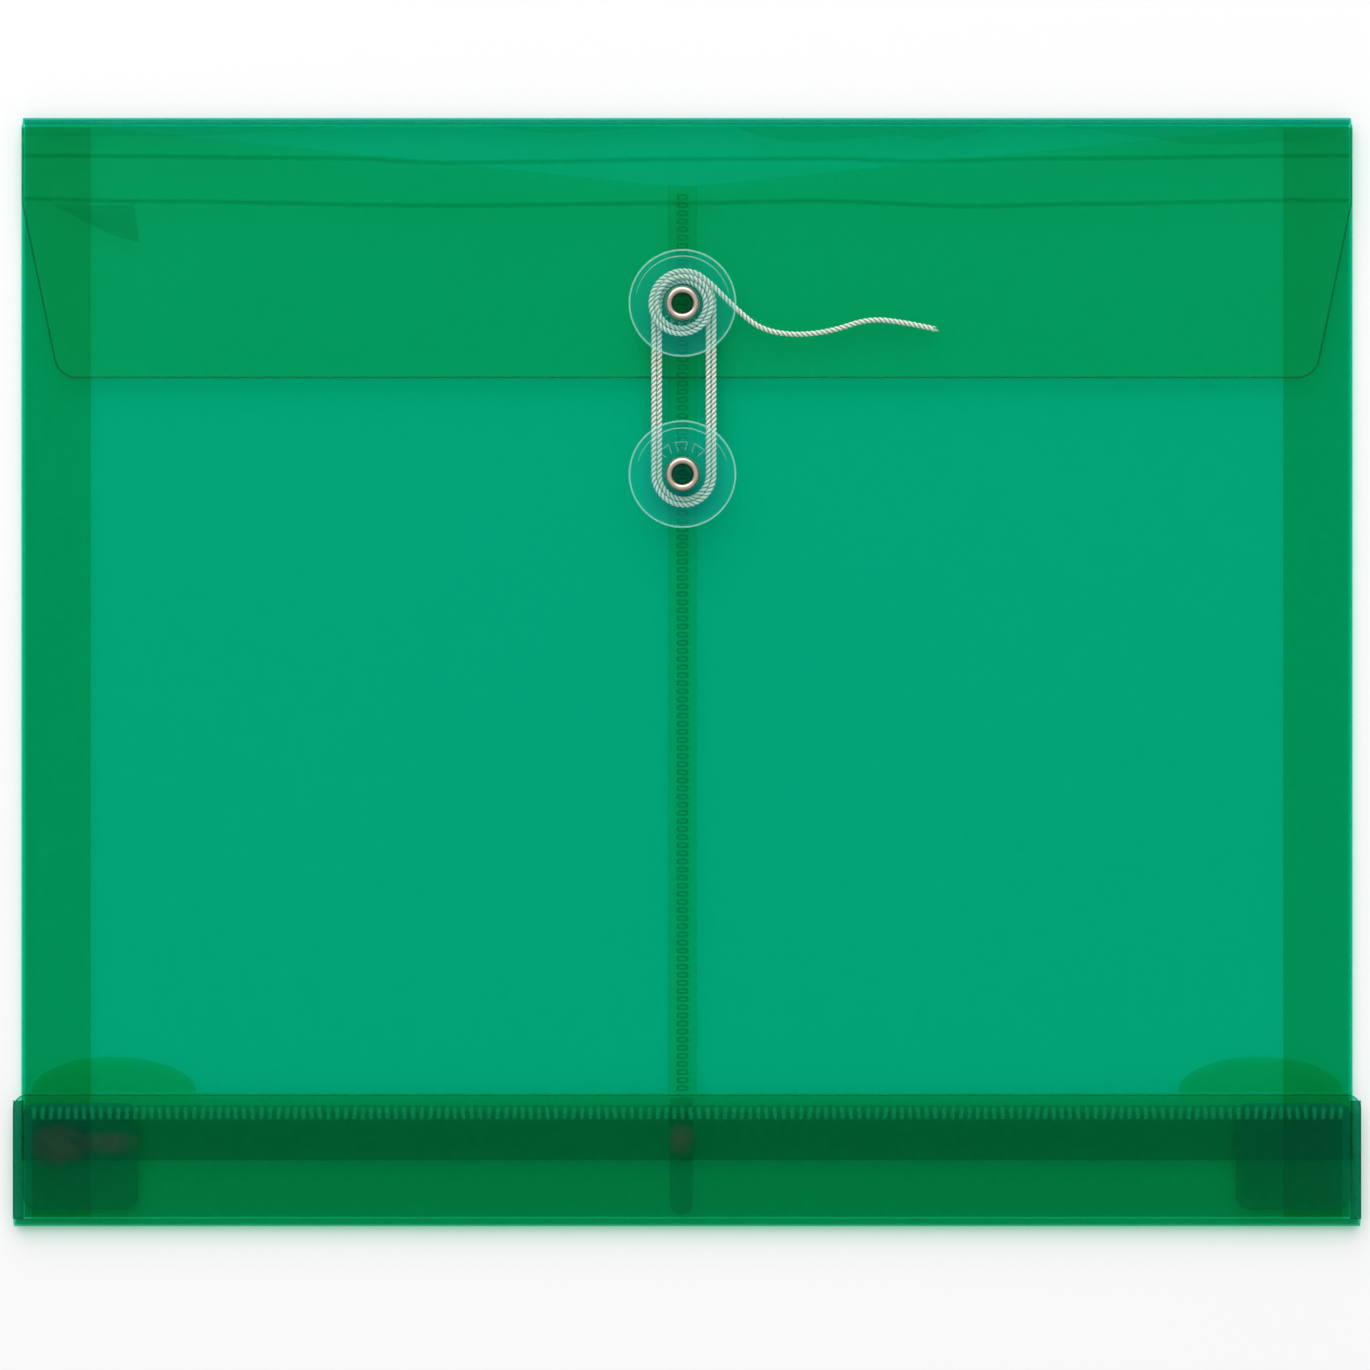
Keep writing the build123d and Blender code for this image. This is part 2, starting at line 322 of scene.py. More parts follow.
@dataclass(frozen=True)
class ScuffFinish:
    """A dull, patchy scuff on the film that fades out towards its edge.

    Attributes:
        name: Name of the material.
        strength: Share of the light that its middle scatters.
        body: Colour of the scattered light.
        paler: How much paler its pale grains are.
        full: Share of the way in from its edge where it is at full strength.
        patch: Repeats of the patches in a metre.
        patch_range: Strength of its faintest and strongest patches.
        grain: Repeats of the grain in a metre.
    """

    name: str
    strength: float
    body: Colour
    paler: float = 1.4
    full: float = 0.7
    patch: float = 320.0
    patch_range: Flat = (0.35, 1.25)
    grain: float = 300.0

    def make(self) -> bpy.types.Material:
        """Make the scuff's material.

        Returns:
            The material.
        """
        tree = NodeTree(self.name)
        place = tree.node("ShaderNodeTexCoord")
        middle = tree.node("ShaderNodeMapping", Location=(-1.0, -1.0, 0.0), Scale=(2.0, 2.0, 0.0))
        fade = tree.node("ShaderNodeTexGradient")
        fade.gradient_type = "SPHERICAL"
        tree.link(place.outputs["Generated"], middle.inputs["Vector"])
        tree.link(middle.outputs["Vector"], fade.inputs["Vector"])
        share = tree.node("ShaderNodeMapRange", From_Max=self.full, To_Max=self.strength)
        tree.link(fade.outputs["Fac"], share.inputs["Value"])
        patches = tree.node("ShaderNodeMath")
        patches.operation = "MULTIPLY"
        tree.link(share.outputs["Result"], patches.inputs[0])
        tree.link(tree.spread(tree.noise(self.patch), *self.patch_range), patches.inputs[1])
        clear = tree.node("ShaderNodeBsdfTransparent", Color=(*WHITE, 1.0))
        dull = tree.node("ShaderNodeBsdfPrincipled", Roughness=0.7, Specular_IOR_Level=0.1)
        pale = tuple(part * self.paler for part in self.body)
        tree.link(tree.between(tree.noise(self.grain, 1.0), self.body, pale), dull.inputs["Base Color"])
        return tree.finish(tree.mixed(patches.outputs[0], clear, dull))


@dataclass(frozen=True)
class SolidFinish:
    """A surface that hides what lies under it: plated metal, spun cotton or paper.

    Attributes:
        name: Name of the material.
        colours: The two colours that its grain drifts between.
        grain: Repeats of the grain in a metre, and its finer octaves.
        rough: Least and most roughness.
        bump: Strength of the grain's bump and its height in metres, if it has any.
        sockets: Other sockets of its shader.
        groove: Colour of the painted shade down in the twist of the string, where a piece marks it, if it
            has any.
    """

    name: str
    colours: tuple[Colour, Colour]
    grain: Flat
    rough: Flat
    bump: Flat | None = None
    sockets: tuple[tuple[str, float], ...] = ()
    groove: Colour | None = None

    def make(self) -> bpy.types.Material:
        """Make the surface's material.

        Returns:
            The material.
        """
        tree = NodeTree(self.name)
        grain = tree.noise(*self.grain)
        solid = tree.node("ShaderNodeBsdfPrincipled", **dict(self.sockets))
        colour = tree.between(grain, *self.colours)
        # Painted shade: the colour darkens towards the groove colour down in the twist of the plies.
        if self.groove:
            shade_mask = tree.node("ShaderNodeAttribute")
            shade_mask.attribute_name = GROOVE_SHADE
            colour = tree.between(shade_mask.outputs["Fac"], colour, self.groove)
        tree.link(colour, solid.inputs["Base Color"])
        tree.link(tree.spread(grain, *self.rough), solid.inputs["Roughness"])
        if self.bump:
            tree.link(tree.bump(grain, *self.bump), solid.inputs["Normal"])
        return tree.finish(solid)


class Finish(Enum):
    """Every finish of the envelope and its floor."""

    FRONT = FilmFinish("front_film", (0.01, 0.87, 0.62), 0.014)
    # The back film's tint is half as bright as the front's: beyond the film's own green, that darkness is
    # painted shade standing in for the shaded floor under the envelope.
    BACK = FilmFinish("back_film", (0.01, 0.435, 0.315), 0.02, (0.0, 0.14, 0.08))
    FLAP = FilmFinish("flap_film", (0.005, 0.71, 0.45), 0.045, (0.0, 0.66, 0.33))
    LEAF = FilmFinish("gusset_film", (0.05, 0.87, 0.7), 0.012)
    BASE = FilmFinish("base_film", (0.01, 0.58, 0.245), 0.025, SMOKE)
    INNER = FilmFinish("base_inner_film", (0.02, 0.74, 0.62), 0.02, SMOKE)
    STRIP = FilmFinish("turned_film", (0.05, 0.6, 0.8), 0.02, SMOKE)
    TUCK = FilmFinish("pressed_film", (0.02, 0.36, 0.14), 0.24, (0.01, 0.24, 0.42), 0.3)
    TONGUE = FilmFinish("seam_film", (0.1, 0.7, 0.7), 0.025, BROWN, 0.6)
    TAB = FilmFinish("tab_film", (0.02, 0.78, 0.45), 0.018)
    LIP = FilmFinish("lip_film", (0.02, 0.64, 0.5), 0.018)
    SIDE = FilmFinish("side_fold_film", (0.01, 0.6, 0.36), 0.018)
    # Painted shade: a strip under the top fold that darkens a wavy band below it.
    FOLD_SHADE = FilmFinish("fold_shade_film", (0.03, 0.84, 0.64), 0.012)
    CORNER = FilmFinish("corner_film", (0.05, 0.74, 0.6), 0.018)
    ROLL = FilmFinish("rolled_film", (0.004, 0.43, 0.2), 0.02, SMOKE, gloss=0.008)
    END = FilmFinish("end_film", (0.004, 0.12, 0.07), 0.02, SMOKE, gloss=0.008)
    FOLD = FilmFinish("folded_film", (0.0022, 0.39, 0.235), 0.012, SMOKE, gloss=0.008)
    # Along the score lines this darker film is painted shade in the creases; it also draws the lap's edge
    # lines.
    CREASE = FilmFinish("creased_film", (0.02, 0.8, 0.66), 0.02, SMOKE)
    # The cut edges' bead is real; its dark film is partly painted shade, standing in for the dark line that
    # bending light shows at a film's edge.
    EDGE = FilmFinish("cut_edge", (0.01, 0.3, 0.2), 0.08, SMOKE)
    WELD = FilmFinish("welded_film", (0.02, 0.5, 0.34), 0.04, SMOKE)
    FROST = FilmFinish("frosted_weld", (0.2, 0.8, 0.75), 0.15, (0.0, 0.46, 0.2))
    SCUFF = ScuffFinish("scuffed_film", 0.32, (0.026, 0.06, 0.034))
    CLEAR = ClearFinish("clear_plastic", (0.965, 0.99, 0.975), 0.05, (0.0, 0.8, 0.86))
    # Painted highlight: a whitish, hazy finish on the disc's rim lines and hub petals, standing in for
    # light caught on their edges and ridges.
    RIM_HIGHLIGHT = ClearFinish("rim_highlight", (0.95, 1.0, 1.0), 0.22, (0.6, 0.93, 0.86))
    WASHER = ClearFinish("hazy_washer", (0.9, 0.98, 0.98), 0.02, (0.3, 0.75, 0.7))
    METAL = SolidFinish(
        "nickel_plating",
        colours=((0.47, 0.41, 0.34), (0.34, 0.3, 0.24)),
        grain=(700.0, 4.0),
        rough=(0.16, 0.3),
        bump=(0.1, 0.00002),
        sockets=(("Metallic", 1.0),),
    )
    STRING = SolidFinish(
        "cotton_string",
        colours=((0.66, 0.72, 0.64), (0.92, 0.93, 0.86)),
        grain=(2600.0, 4.0),
        rough=(0.75, 0.92),
        bump=(0.5, 0.00006),
        sockets=(("Sheen_Weight", 0.25), ("Sheen_Roughness", 0.5)),
        # The groove colour is painted shade down in the twist of the plies.
        groove=(0.2, 0.38, 0.28),
    )
    FLOOR = SolidFinish(
        "pale_floor",
        colours=((0.93, 0.93, 0.93), (0.95, 0.95, 0.95)),
        grain=(3.0, 3.0),
        rough=(0.95, 0.95),
        sockets=(("Specular_IOR_Level", 0.05),),
    )

    @cached_property
    def material(self) -> bpy.types.Material:
        """The finish's material, made once."""
        return self.value.make()


@dataclass
class MeshDraft:
    """A piece while it is drawn, in millimetres.

    Attributes:
        points: Its points.
        faces: Its faces, as numbers of points.
        groove_shades: For the string, how much painted shade each point takes, by how deep in the twist it
            lies, from 0 to 1.
    """

    points: list[Vector] = field(default_factory=list)
    faces: list[Face] = field(default_factory=list)
    groove_shades: list[float] = field(default_factory=list)

    def add(self, points: Iterable[Sequence[float]], faces: Iterable[Face]) -> None:
        """Add points and faces.

        Args:
            points: The points.
            faces: The faces, counted from the first of these points.
        """
        first = len(self.points)
        self.points += [Vector(point) for point in points]
        self.faces += [tuple(first + corner for corner in face) for face in faces]

    def prism(self, outline: Sequence[Flat], low: float, high: float) -> None:
        """Add a flat piece of film.

        Args:
            outline: Corners seen from above.
            low: Height of its underside.
            high: Height of its top.
        """
        self.shell([(x, y, low) for x, y in outline], Vector((0, 0, high - low)), 1)

    def plate(self, xs: Sequence[float], ys: Sequence[float], low: float, high: float) -> None:
        """Add a closed rectangular sheet with cuts across it, so that it can bend.

        Args:
            xs: Places of the cuts along x, ends included.
            ys: Places of the cuts along y, ends included.
            low: Height of its underside.
            high: Height of its top.
        """
        wide, long = len(xs), len(ys)
        points = [(x, y, z) for z in (low, high) for y in ys for x in xs]
        layer = wide * long
        faces: list[Face] = []
        for row in range(long - 1):
            for column in range(wide - 1):
                here = row * wide + column
                square = (here, here + 1, here + wide + 1, here + wide)
                faces.append(tuple(reversed(square)))
                faces.append(tuple(layer + corner for corner in square))
        rim = list(range(wide))
        rim += [row * wide + wide - 1 for row in range(1, long)]
        rim += [(long - 1) * wide + column for column in range(wide - 2, -1, -1)]
        rim += [row * wide for row in range(long - 2, 0, -1)]
        for here, after in zip(rim, rim[1:] + rim[:1]):
            faces.append((here, after, layer + after, layer + here))
        self.add(points, faces)

    def shell(self, profile: Sequence[Spot], move: Vector, cuts: int) -> None:
        """Add a closed profile drawn out along a line.

        Args:
            profile: Closed loop of points in space.
            move: The way from the first end to the last.
            cuts: Number of stretches along it.
        """
        rings = [[Vector(point) + move * (cut / cuts) for point in profile] for cut in range(cuts + 1)]
        self.loft(rings)

    def loft(self, rings: Sequence[Sequence[Vector]], closed: bool = False) -> None:
        """Add a skin over rings of as many points each.

        Args:
            rings: The rings, in order.
            closed: Whether the last ring joins the first, so that it has no ends.
        """
        sides, count = len(rings[0]), len(rings)
        faces: list[Face] = []
        for here in range(count if closed else count - 1):
            low, high = here * sides, ((here + 1) % count) * sides
            for side in range(sides):
                other = (side + 1) % sides
                faces.append((low + side, low + other, high + other, high + side))
        if not closed:
            faces.append(tuple(reversed(range(sides))))
            faces.append(tuple(range((count - 1) * sides, count * sides)))
        self.add([point for ring in rings for point in ring], faces)

    def tube(
        self,
        line: Sequence[Vector],
        radius: float | Callable[[float], float],
        sides: int,
        closed: bool = False,
    ) -> None:
        """Add a tube along a line.

        Args:
            line: Centres of its rings.
            radius: Its radius, or the radius for a share of the way along it.
            sides: Number of sides.
            closed: Whether its last ring joins its first.
        """
        turns = [2 * math.pi * side / sides for side in range(sides)]
        rings: list[list[Vector]] = []
        for here, (centre, across, beside) in enumerate(square_to(line, closed)):
            size = radius(here / (len(line) - 1)) if callable(radius) else radius
            ways = [across * math.cos(turn) + beside * math.sin(turn) for turn in turns]
            rings.append([centre + way * size for way in ways])
        self.loft(rings, closed)

    def build(self, name: str, finish: Finish, smooth: bool = False) -> bpy.types.Object:
        """Turn the draft into a piece.

        Args:
            name: Name of the piece.
            finish: Its finish.
            smooth: Whether its faces are shaded as one surface.

        Returns:
            The new object, in metres.
        """
        mesh = bpy.data.meshes.new(name)
        mesh.from_pydata([point * MM for point in self.points], [], self.faces)
        mesh.materials.append(finish.material)
        mesh.polygons.foreach_set("use_smooth", [smooth] * len(mesh.polygons))
        shape = bmesh.new()
        shape.from_mesh(mesh)
        bmesh.ops.recalc_face_normals(shape, faces=shape.faces)
        shape.to_mesh(mesh)
        shape.free()
        # The painted shade of the string's twist, stored as a value for each point.
        if self.groove_shades:
            mesh.attributes.new(GROOVE_SHADE, "FLOAT", "POINT").data.foreach_set("value", self.groove_shades)
        mesh.update()
        made = bpy.data.objects.new(name, mesh)
        bpy.context.scene.collection.objects.link(made)
        LOG.info("piece %s: %d points", name, len(self.points))
        return made


def evenly(low: float, high: float, count: int) -> list[float]:
    """Places from low to high, count stretches apart."""
    return [low + (high - low) * step / count for step in range(count + 1)]


def square_to(line: Sequence[Vector], closed: bool = False) -> list[tuple[Vector, Vector, Vector]]:
    """Each point of a line, with two directions square to the line that don't turn about it.

    Args:
        line: The points.
        closed: Whether the last point joins the first.

    Returns:
        Rows of a point and its two directions.
    """
    count = len(line)
    rows: list[tuple[Vector, Vector, Vector]] = []
    across = Vector((0, 0, 1))
    for here, centre in enumerate(line):
        before = line[here - 1] if closed or here > 0 else centre
        after = line[(here + 1) % count] if closed or here < count - 1 else centre
        ahead = (after - before).normalized()
        across = (across - ahead * across.dot(ahead)).normalized()
        rows.append((centre, across, ahead.cross(across)))
    return rows


def eased(points: Sequence[Flat], x: float) -> float:
    """Height at x of a smooth line that is level at each of its points.

    Args:
        points: Places and heights, from left to right.
        x: Where the height is wanted.

    Returns:
        The height there.
    """
    for (x0, y0), (x1, y1) in zip(points, points[1:]):
        if x <= x1:
            share = max(0.0, (x - x0) / (x1 - x0))
            return y0 + (y1 - y0) * share * share * (3 - 2 * share)
    return points[-1][1]


def rounded(corners: Sequence[Flat], radii: Sequence[float], steps: int = 8) -> list[Flat]:
    """An open line with round corners.

    Args:
        corners: Its corners, ends included.
        radii: Radius at each corner between the ends.
        steps: Stretches in each round.

    Returns:
        Points along the line.
    """
    made: list[Flat] = [corners[0]]
    for before, corner, after, radius in zip(corners, corners[1:], corners[2:], radii):
        middle = Vector(corner)
        back = (Vector(before) - middle).normalized()
        ahead = (Vector(after) - middle).normalized()
        half = back.angle(ahead) / 2
        start = middle + back * (radius / math.tan(half))
        end = middle + ahead * (radius / math.tan(half))
        centre = middle + (back + ahead).normalized() * (radius / math.sin(half))
        for share in evenly(0, 1, steps):
            way = (start.lerp(end, share) - centre).normalized()
            made.append(tuple(centre + way * radius))
    made.append(corners[-1])
    return made


def place(piece: bpy.types.Object, body: str, *nodes: str, slot: Slot = Slot.FILM) -> None:
    """Let a piece ride on a body.

    Args:
        piece: The piece, in place.
        body: Name of the CAD body.
        nodes: Names of the CAD nodes that it stands for.
        slot: Its material slot; not used.
    """
    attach(piece, body)
    if nodes:
        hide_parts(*nodes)


def bend(piece: bpy.types.Object, bodies: tuple[str, str], start: Spot, end: Spot, *nodes: str) -> None:
    """Fix a piece of film that bends across a joint in place, on neither body.

    Args:
        piece: The piece, in place.
        bodies: Names of the two bodies; not used.
        start: Where it stops following the first body, in millimetres; not used.
        end: Where it starts to follow the second, in millimetres; not used.
        nodes: Names of the CAD nodes that it stands for.
    """
    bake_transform(piece)
    if nodes:
        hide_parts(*nodes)


@dataclass
class Sheet:
    """Sizes that the film pieces share, in millimetres."""

    film: float = 0.35
    right_x: float = 147.5
    top_axis: Flat = (121.525, 1.675)
    bottom_axis: Flat = (-121.425, 1.775)
    crease_y: float = -108.55
    base_top_y: float = -93.9
    front_low_y: float = -93.4
    throat_low_y: float = 108.125
    button_x: float = -1.0
    button_ys: Flat = (81.5, 43.7)
    fold_start: float = -80.0
    long_cuts: int = 12

    def rolled_fold(self, axis: Flat, outward: int, reach: float) -> MeshDraft:
        """Draw a fold that rolls round an axis along x.

        Args:
            axis: Place of its axis as y and z; its outer radius is the height of the axis.
            outward: Sign of the y side that it bulges to.
            reach: Half of its length.

        Returns:
            The draft.
        """
        y, z = axis
        turns = evenly(math.radians(self.fold_start), math.pi / 2, 20)
        loop: list[Spot] = []
        for radius, order in ((z, turns), (z - self.film, turns[::-1])):
            for turn in order:
                loop.append((-reach, y + outward * radius * math.cos(turn), z + radius * math.sin(turn)))
        draft = MeshDraft()
        draft.shell(loop, Vector((2 * reach, 0, 0)), self.long_cuts)
        return draft


@dataclass
class Part:
    """A sub-assembly: the frame with its CAD nodes, and the sizes that all of them share."""

    frame: dict
    sheet: Sheet

    def dress(self, finish: Finish, *nodes: str) -> None:
        """Give carried-over CAD nodes a finish.

        Args:
            finish: The finish.
            nodes: Names of the nodes.
        """
        for name in nodes:
            data = self.frame["nodes"][name].data
            data.materials.clear()
            data.materials.append(finish.material)
            LOG.info("node %s takes %s", name, finish.material.name)


@dataclass
class Pouch(Part):
    """Back, front, side gussets and the welded lap of the front, in millimetres."""

    leaf: float = 14.6
    back_leaf_z: float = 0.4
    front_leaf_z: float = 0.8
    leaf_film: float = 0.3
    crease_radius: float = 0.22
    fold_film: float = 0.12
    front_z: float = 1.6
    front_gap: float = 0.05
    strip_z: float = 2.0
    strip_top_y: float = -96.35
    strip_end: float = 1.0
    strip_gap: float = 0.02
    strip_bend_y: float = 0.3
    strip_bend_z: Flat = (2.45, 2.6)
    strip_bend_reach: float = 0.8
    throat_high_y: float = 121.125
    gusset_low_y: float = -121.3
    lip_y: Flat = (121.4, 121.82)
    lip_z: Flat = (-0.05, -0.01)
    lap_top: float = 2.35
    lap_half: float = 3.1
    lap_edge: float = 0.14
    link_pitch: float = 1.8
    link_size: Flat = (2.7, 1.4)
    link_hole: Flat = (1.5, 0.42)
    link_rise: float = 0.12
    link_bulge: float = 0.6
    link_sides: int = 16
    corner_outline: tuple[Flat, ...] = ((-141.0, 103.9), (-127.9, 97.2), (-121.9, 95.7), (-123.0, 103.9))
    corner_z: Flat = (1.24, 1.5)

    def build(self) -> None:
        """Make and dress the pouch."""
        self.dress(Finish.BACK, "back_panel")
        self.dress(Finish.FRONT, "front_left_panel", "front_right_panel")
        self.dress(Finish.TAB, "left_corner_tab", "right_corner_tab")
        for side in Side:
            self.gusset(side)
            self.side_folds(side)
        self.top_lip()
        self.lower_end()
        self.lap()
        self.corner_fold()

    def gusset(self, side: Side) -> None:
        """Make one side gusset as two flat leaves with a crease where they meet.

        Args:
            side: Which side.
        """
        name = side.name.lower()
        outer = side.value * self.sheet.right_x
        inner = side.value * (self.sheet.right_x - self.leaf)
        far = 2 * inner - outer
        xs = sorted(evenly(outer, inner, 8))
        ys = evenly(self.gusset_low_y, self.throat_high_y, 24)
        leaves = (("back", self.back_leaf_z, outer, far), ("front", self.front_leaf_z, far, outer))
        for leaf, low, start, end in leaves:
            draft = MeshDraft()
            draft.plate(xs, ys, low, low + self.leaf_film)
            piece = draft.build(f"{name}_gusset_{leaf}_leaf", Finish.LEAF)
            bend(piece, ("back", "front"), (start, 0, 0), (end, 0, 0), f"{name}_gusset")
        middle = (self.back_leaf_z + self.front_leaf_z + self.leaf_film) / 2
        bead = MeshDraft()
        bead.tube([Vector((inner, y, middle)) for y in ys], self.crease_radius, 8)
        piece = bead.build(f"{name}_gusset_crease", Finish.LEAF, True)
        bend(piece, ("back", "front"), (far, 0, 0), (outer, 0, 0))

    def side_folds(self, side: Side) -> None:
        """Make the rounded folds where the back and the front turn into a gusset.

        Args:
            side: Which side.
        """
        folds = (
            ("back", 0.0, self.back_leaf_z + self.leaf_film, self.gusset_low_y, Finish.LEAF),
            ("front", self.front_leaf_z, self.front_z + self.sheet.film, self.sheet.crease_y, Finish.SIDE),
        )
        turns = evenly(-math.pi / 2, math.pi / 2, 8)
        for body, low, high, end_y, finish in folds:
            radius = (high - low) / 2
            loop: list[Spot] = []
            for reach, order in ((radius, turns), (radius - self.fold_film, turns[::-1])):
                for turn in order:
                    x = side.value * (self.sheet.right_x + reach * math.cos(turn))
                    loop.append((x, end_y, low + radius + reach * math.sin(turn)))
            draft = MeshDraft()
            draft.shell(loop, Vector((0, self.throat_high_y - end_y, 0)), self.sheet.long_cuts)
            place(draft.build(f"{side.name.lower()}_{body}_side_fold", finish, True), body)

    def top_lip(self) -> None:
        """Make the thin lip of the back that runs out under the top fold."""
        draft = MeshDraft()
        xs = evenly(-self.sheet.right_x, self.sheet.right_x, self.sheet.long_cuts)
        draft.plate(xs, self.lip_y, *self.lip_z)
        place(draft.build("back_top_lip", Finish.LIP), "back")

    def lower_end(self) -> None:
        """Make the lower end of the front: down to the crease, and back up under the base."""
        sheet, right = self.sheet, self.sheet.right_x
        end_x = right - self.leaf - self.strip_end
        gap_x = end_x + self.strip_gap
        whole, strip = (-right, right, sheet.long_cuts), (-end_x, end_x, sheet.long_cuts)
        ends = ((-right, -gap_x, 2), (gap_x, right, 2))
        down = (sheet.crease_y, sheet.front_low_y - self.front_gap)
        back_up = (sheet.crease_y, self.strip_top_y)
        plates = (
            ("front_lower_end", Finish.FRONT, "front", (whole,), down, self.front_z),
            ("front_turned_strip", Finish.STRIP, "base", (strip,), back_up, self.strip_z),
            ("front_turned_ends", Finish.STRIP, "front", ends, back_up, self.strip_z),
        )
        for name, finish, body, spans, ys, low in plates:
            draft = MeshDraft()
            for span in spans:
                draft.plate(evenly(*span), evenly(*ys, 3), low, low + sheet.film)
            place(draft.build(name, finish), body, "lower_fold")
        low_y = sheet.base_top_y
        draft = MeshDraft()
        draft.plate(evenly(*whole), evenly(low_y, low_y + self.strip_bend_y, 10), *self.strip_bend_z)
        piece = draft.build("front_strip_bend", Finish.FRONT)
        bend(piece, ("back", "base"), (0, low_y + self.strip_bend_reach, 0), (0, low_y, 0))

    def lap(self) -> None:
        """Make the chain of welded links and the edge lines of the centre lap."""
        sheet = self.sheet
        count = int((sheet.throat_low_y - sheet.front_low_y) / self.link_pitch)
        chain = MeshDraft()
        for link in range(count):
            self.link(chain, sheet.front_low_y + (link + 0.5) * self.link_pitch)
        place(chain.build("lap_weld_links", Finish.WELD), "front")
        edge = MeshDraft()
        ys = evenly(sheet.front_low_y, sheet.throat_low_y, 20)
        for x in (sheet.button_x - self.lap_half, sheet.button_x + self.lap_half):
            edge.tube([Vector((x, y, self.lap_top)) for y in ys], self.lap_edge, 6)
        place(edge.build("lap_edges", Finish.CREASE, True), "front")

    def link(self, draft: MeshDraft, y: float) -> None:
        """Add one oval link with a slot in it.

        Args:
            draft: The draft that it goes into.
            y: Place of its middle.
        """
        low, high = self.lap_top, self.lap_top + self.link_rise
        outer, hole = self.link_size, self.link_hole
        section = ((outer, low), (outer, high), (hole, high), (hole, low))
        rings: list[list[Vector]] = []
        for side in range(self.link_sides):
            turn = 2 * math.pi * side / self.link_sides
            along = math.copysign(abs(math.cos(turn)) ** self.link_bulge, math.cos(turn))
            across = math.copysign(abs(math.sin(turn)) ** self.link_bulge, math.sin(turn))
            ring = []
            for (wide, long), z in section:
                ring.append(Vector((self.sheet.button_x + along * wide / 2, y + across * long / 2, z)))
            rings.append(ring)
        draft.loft(rings, True)

    def corner_fold(self) -> None:
        """Make the small turned corner of film behind the front, near the left gusset's top."""
        draft = MeshDraft()
        draft.prism(self.corner_outline, *self.corner_z)
        place(draft.build("gusset_corner_fold", Finish.CORNER), "front")


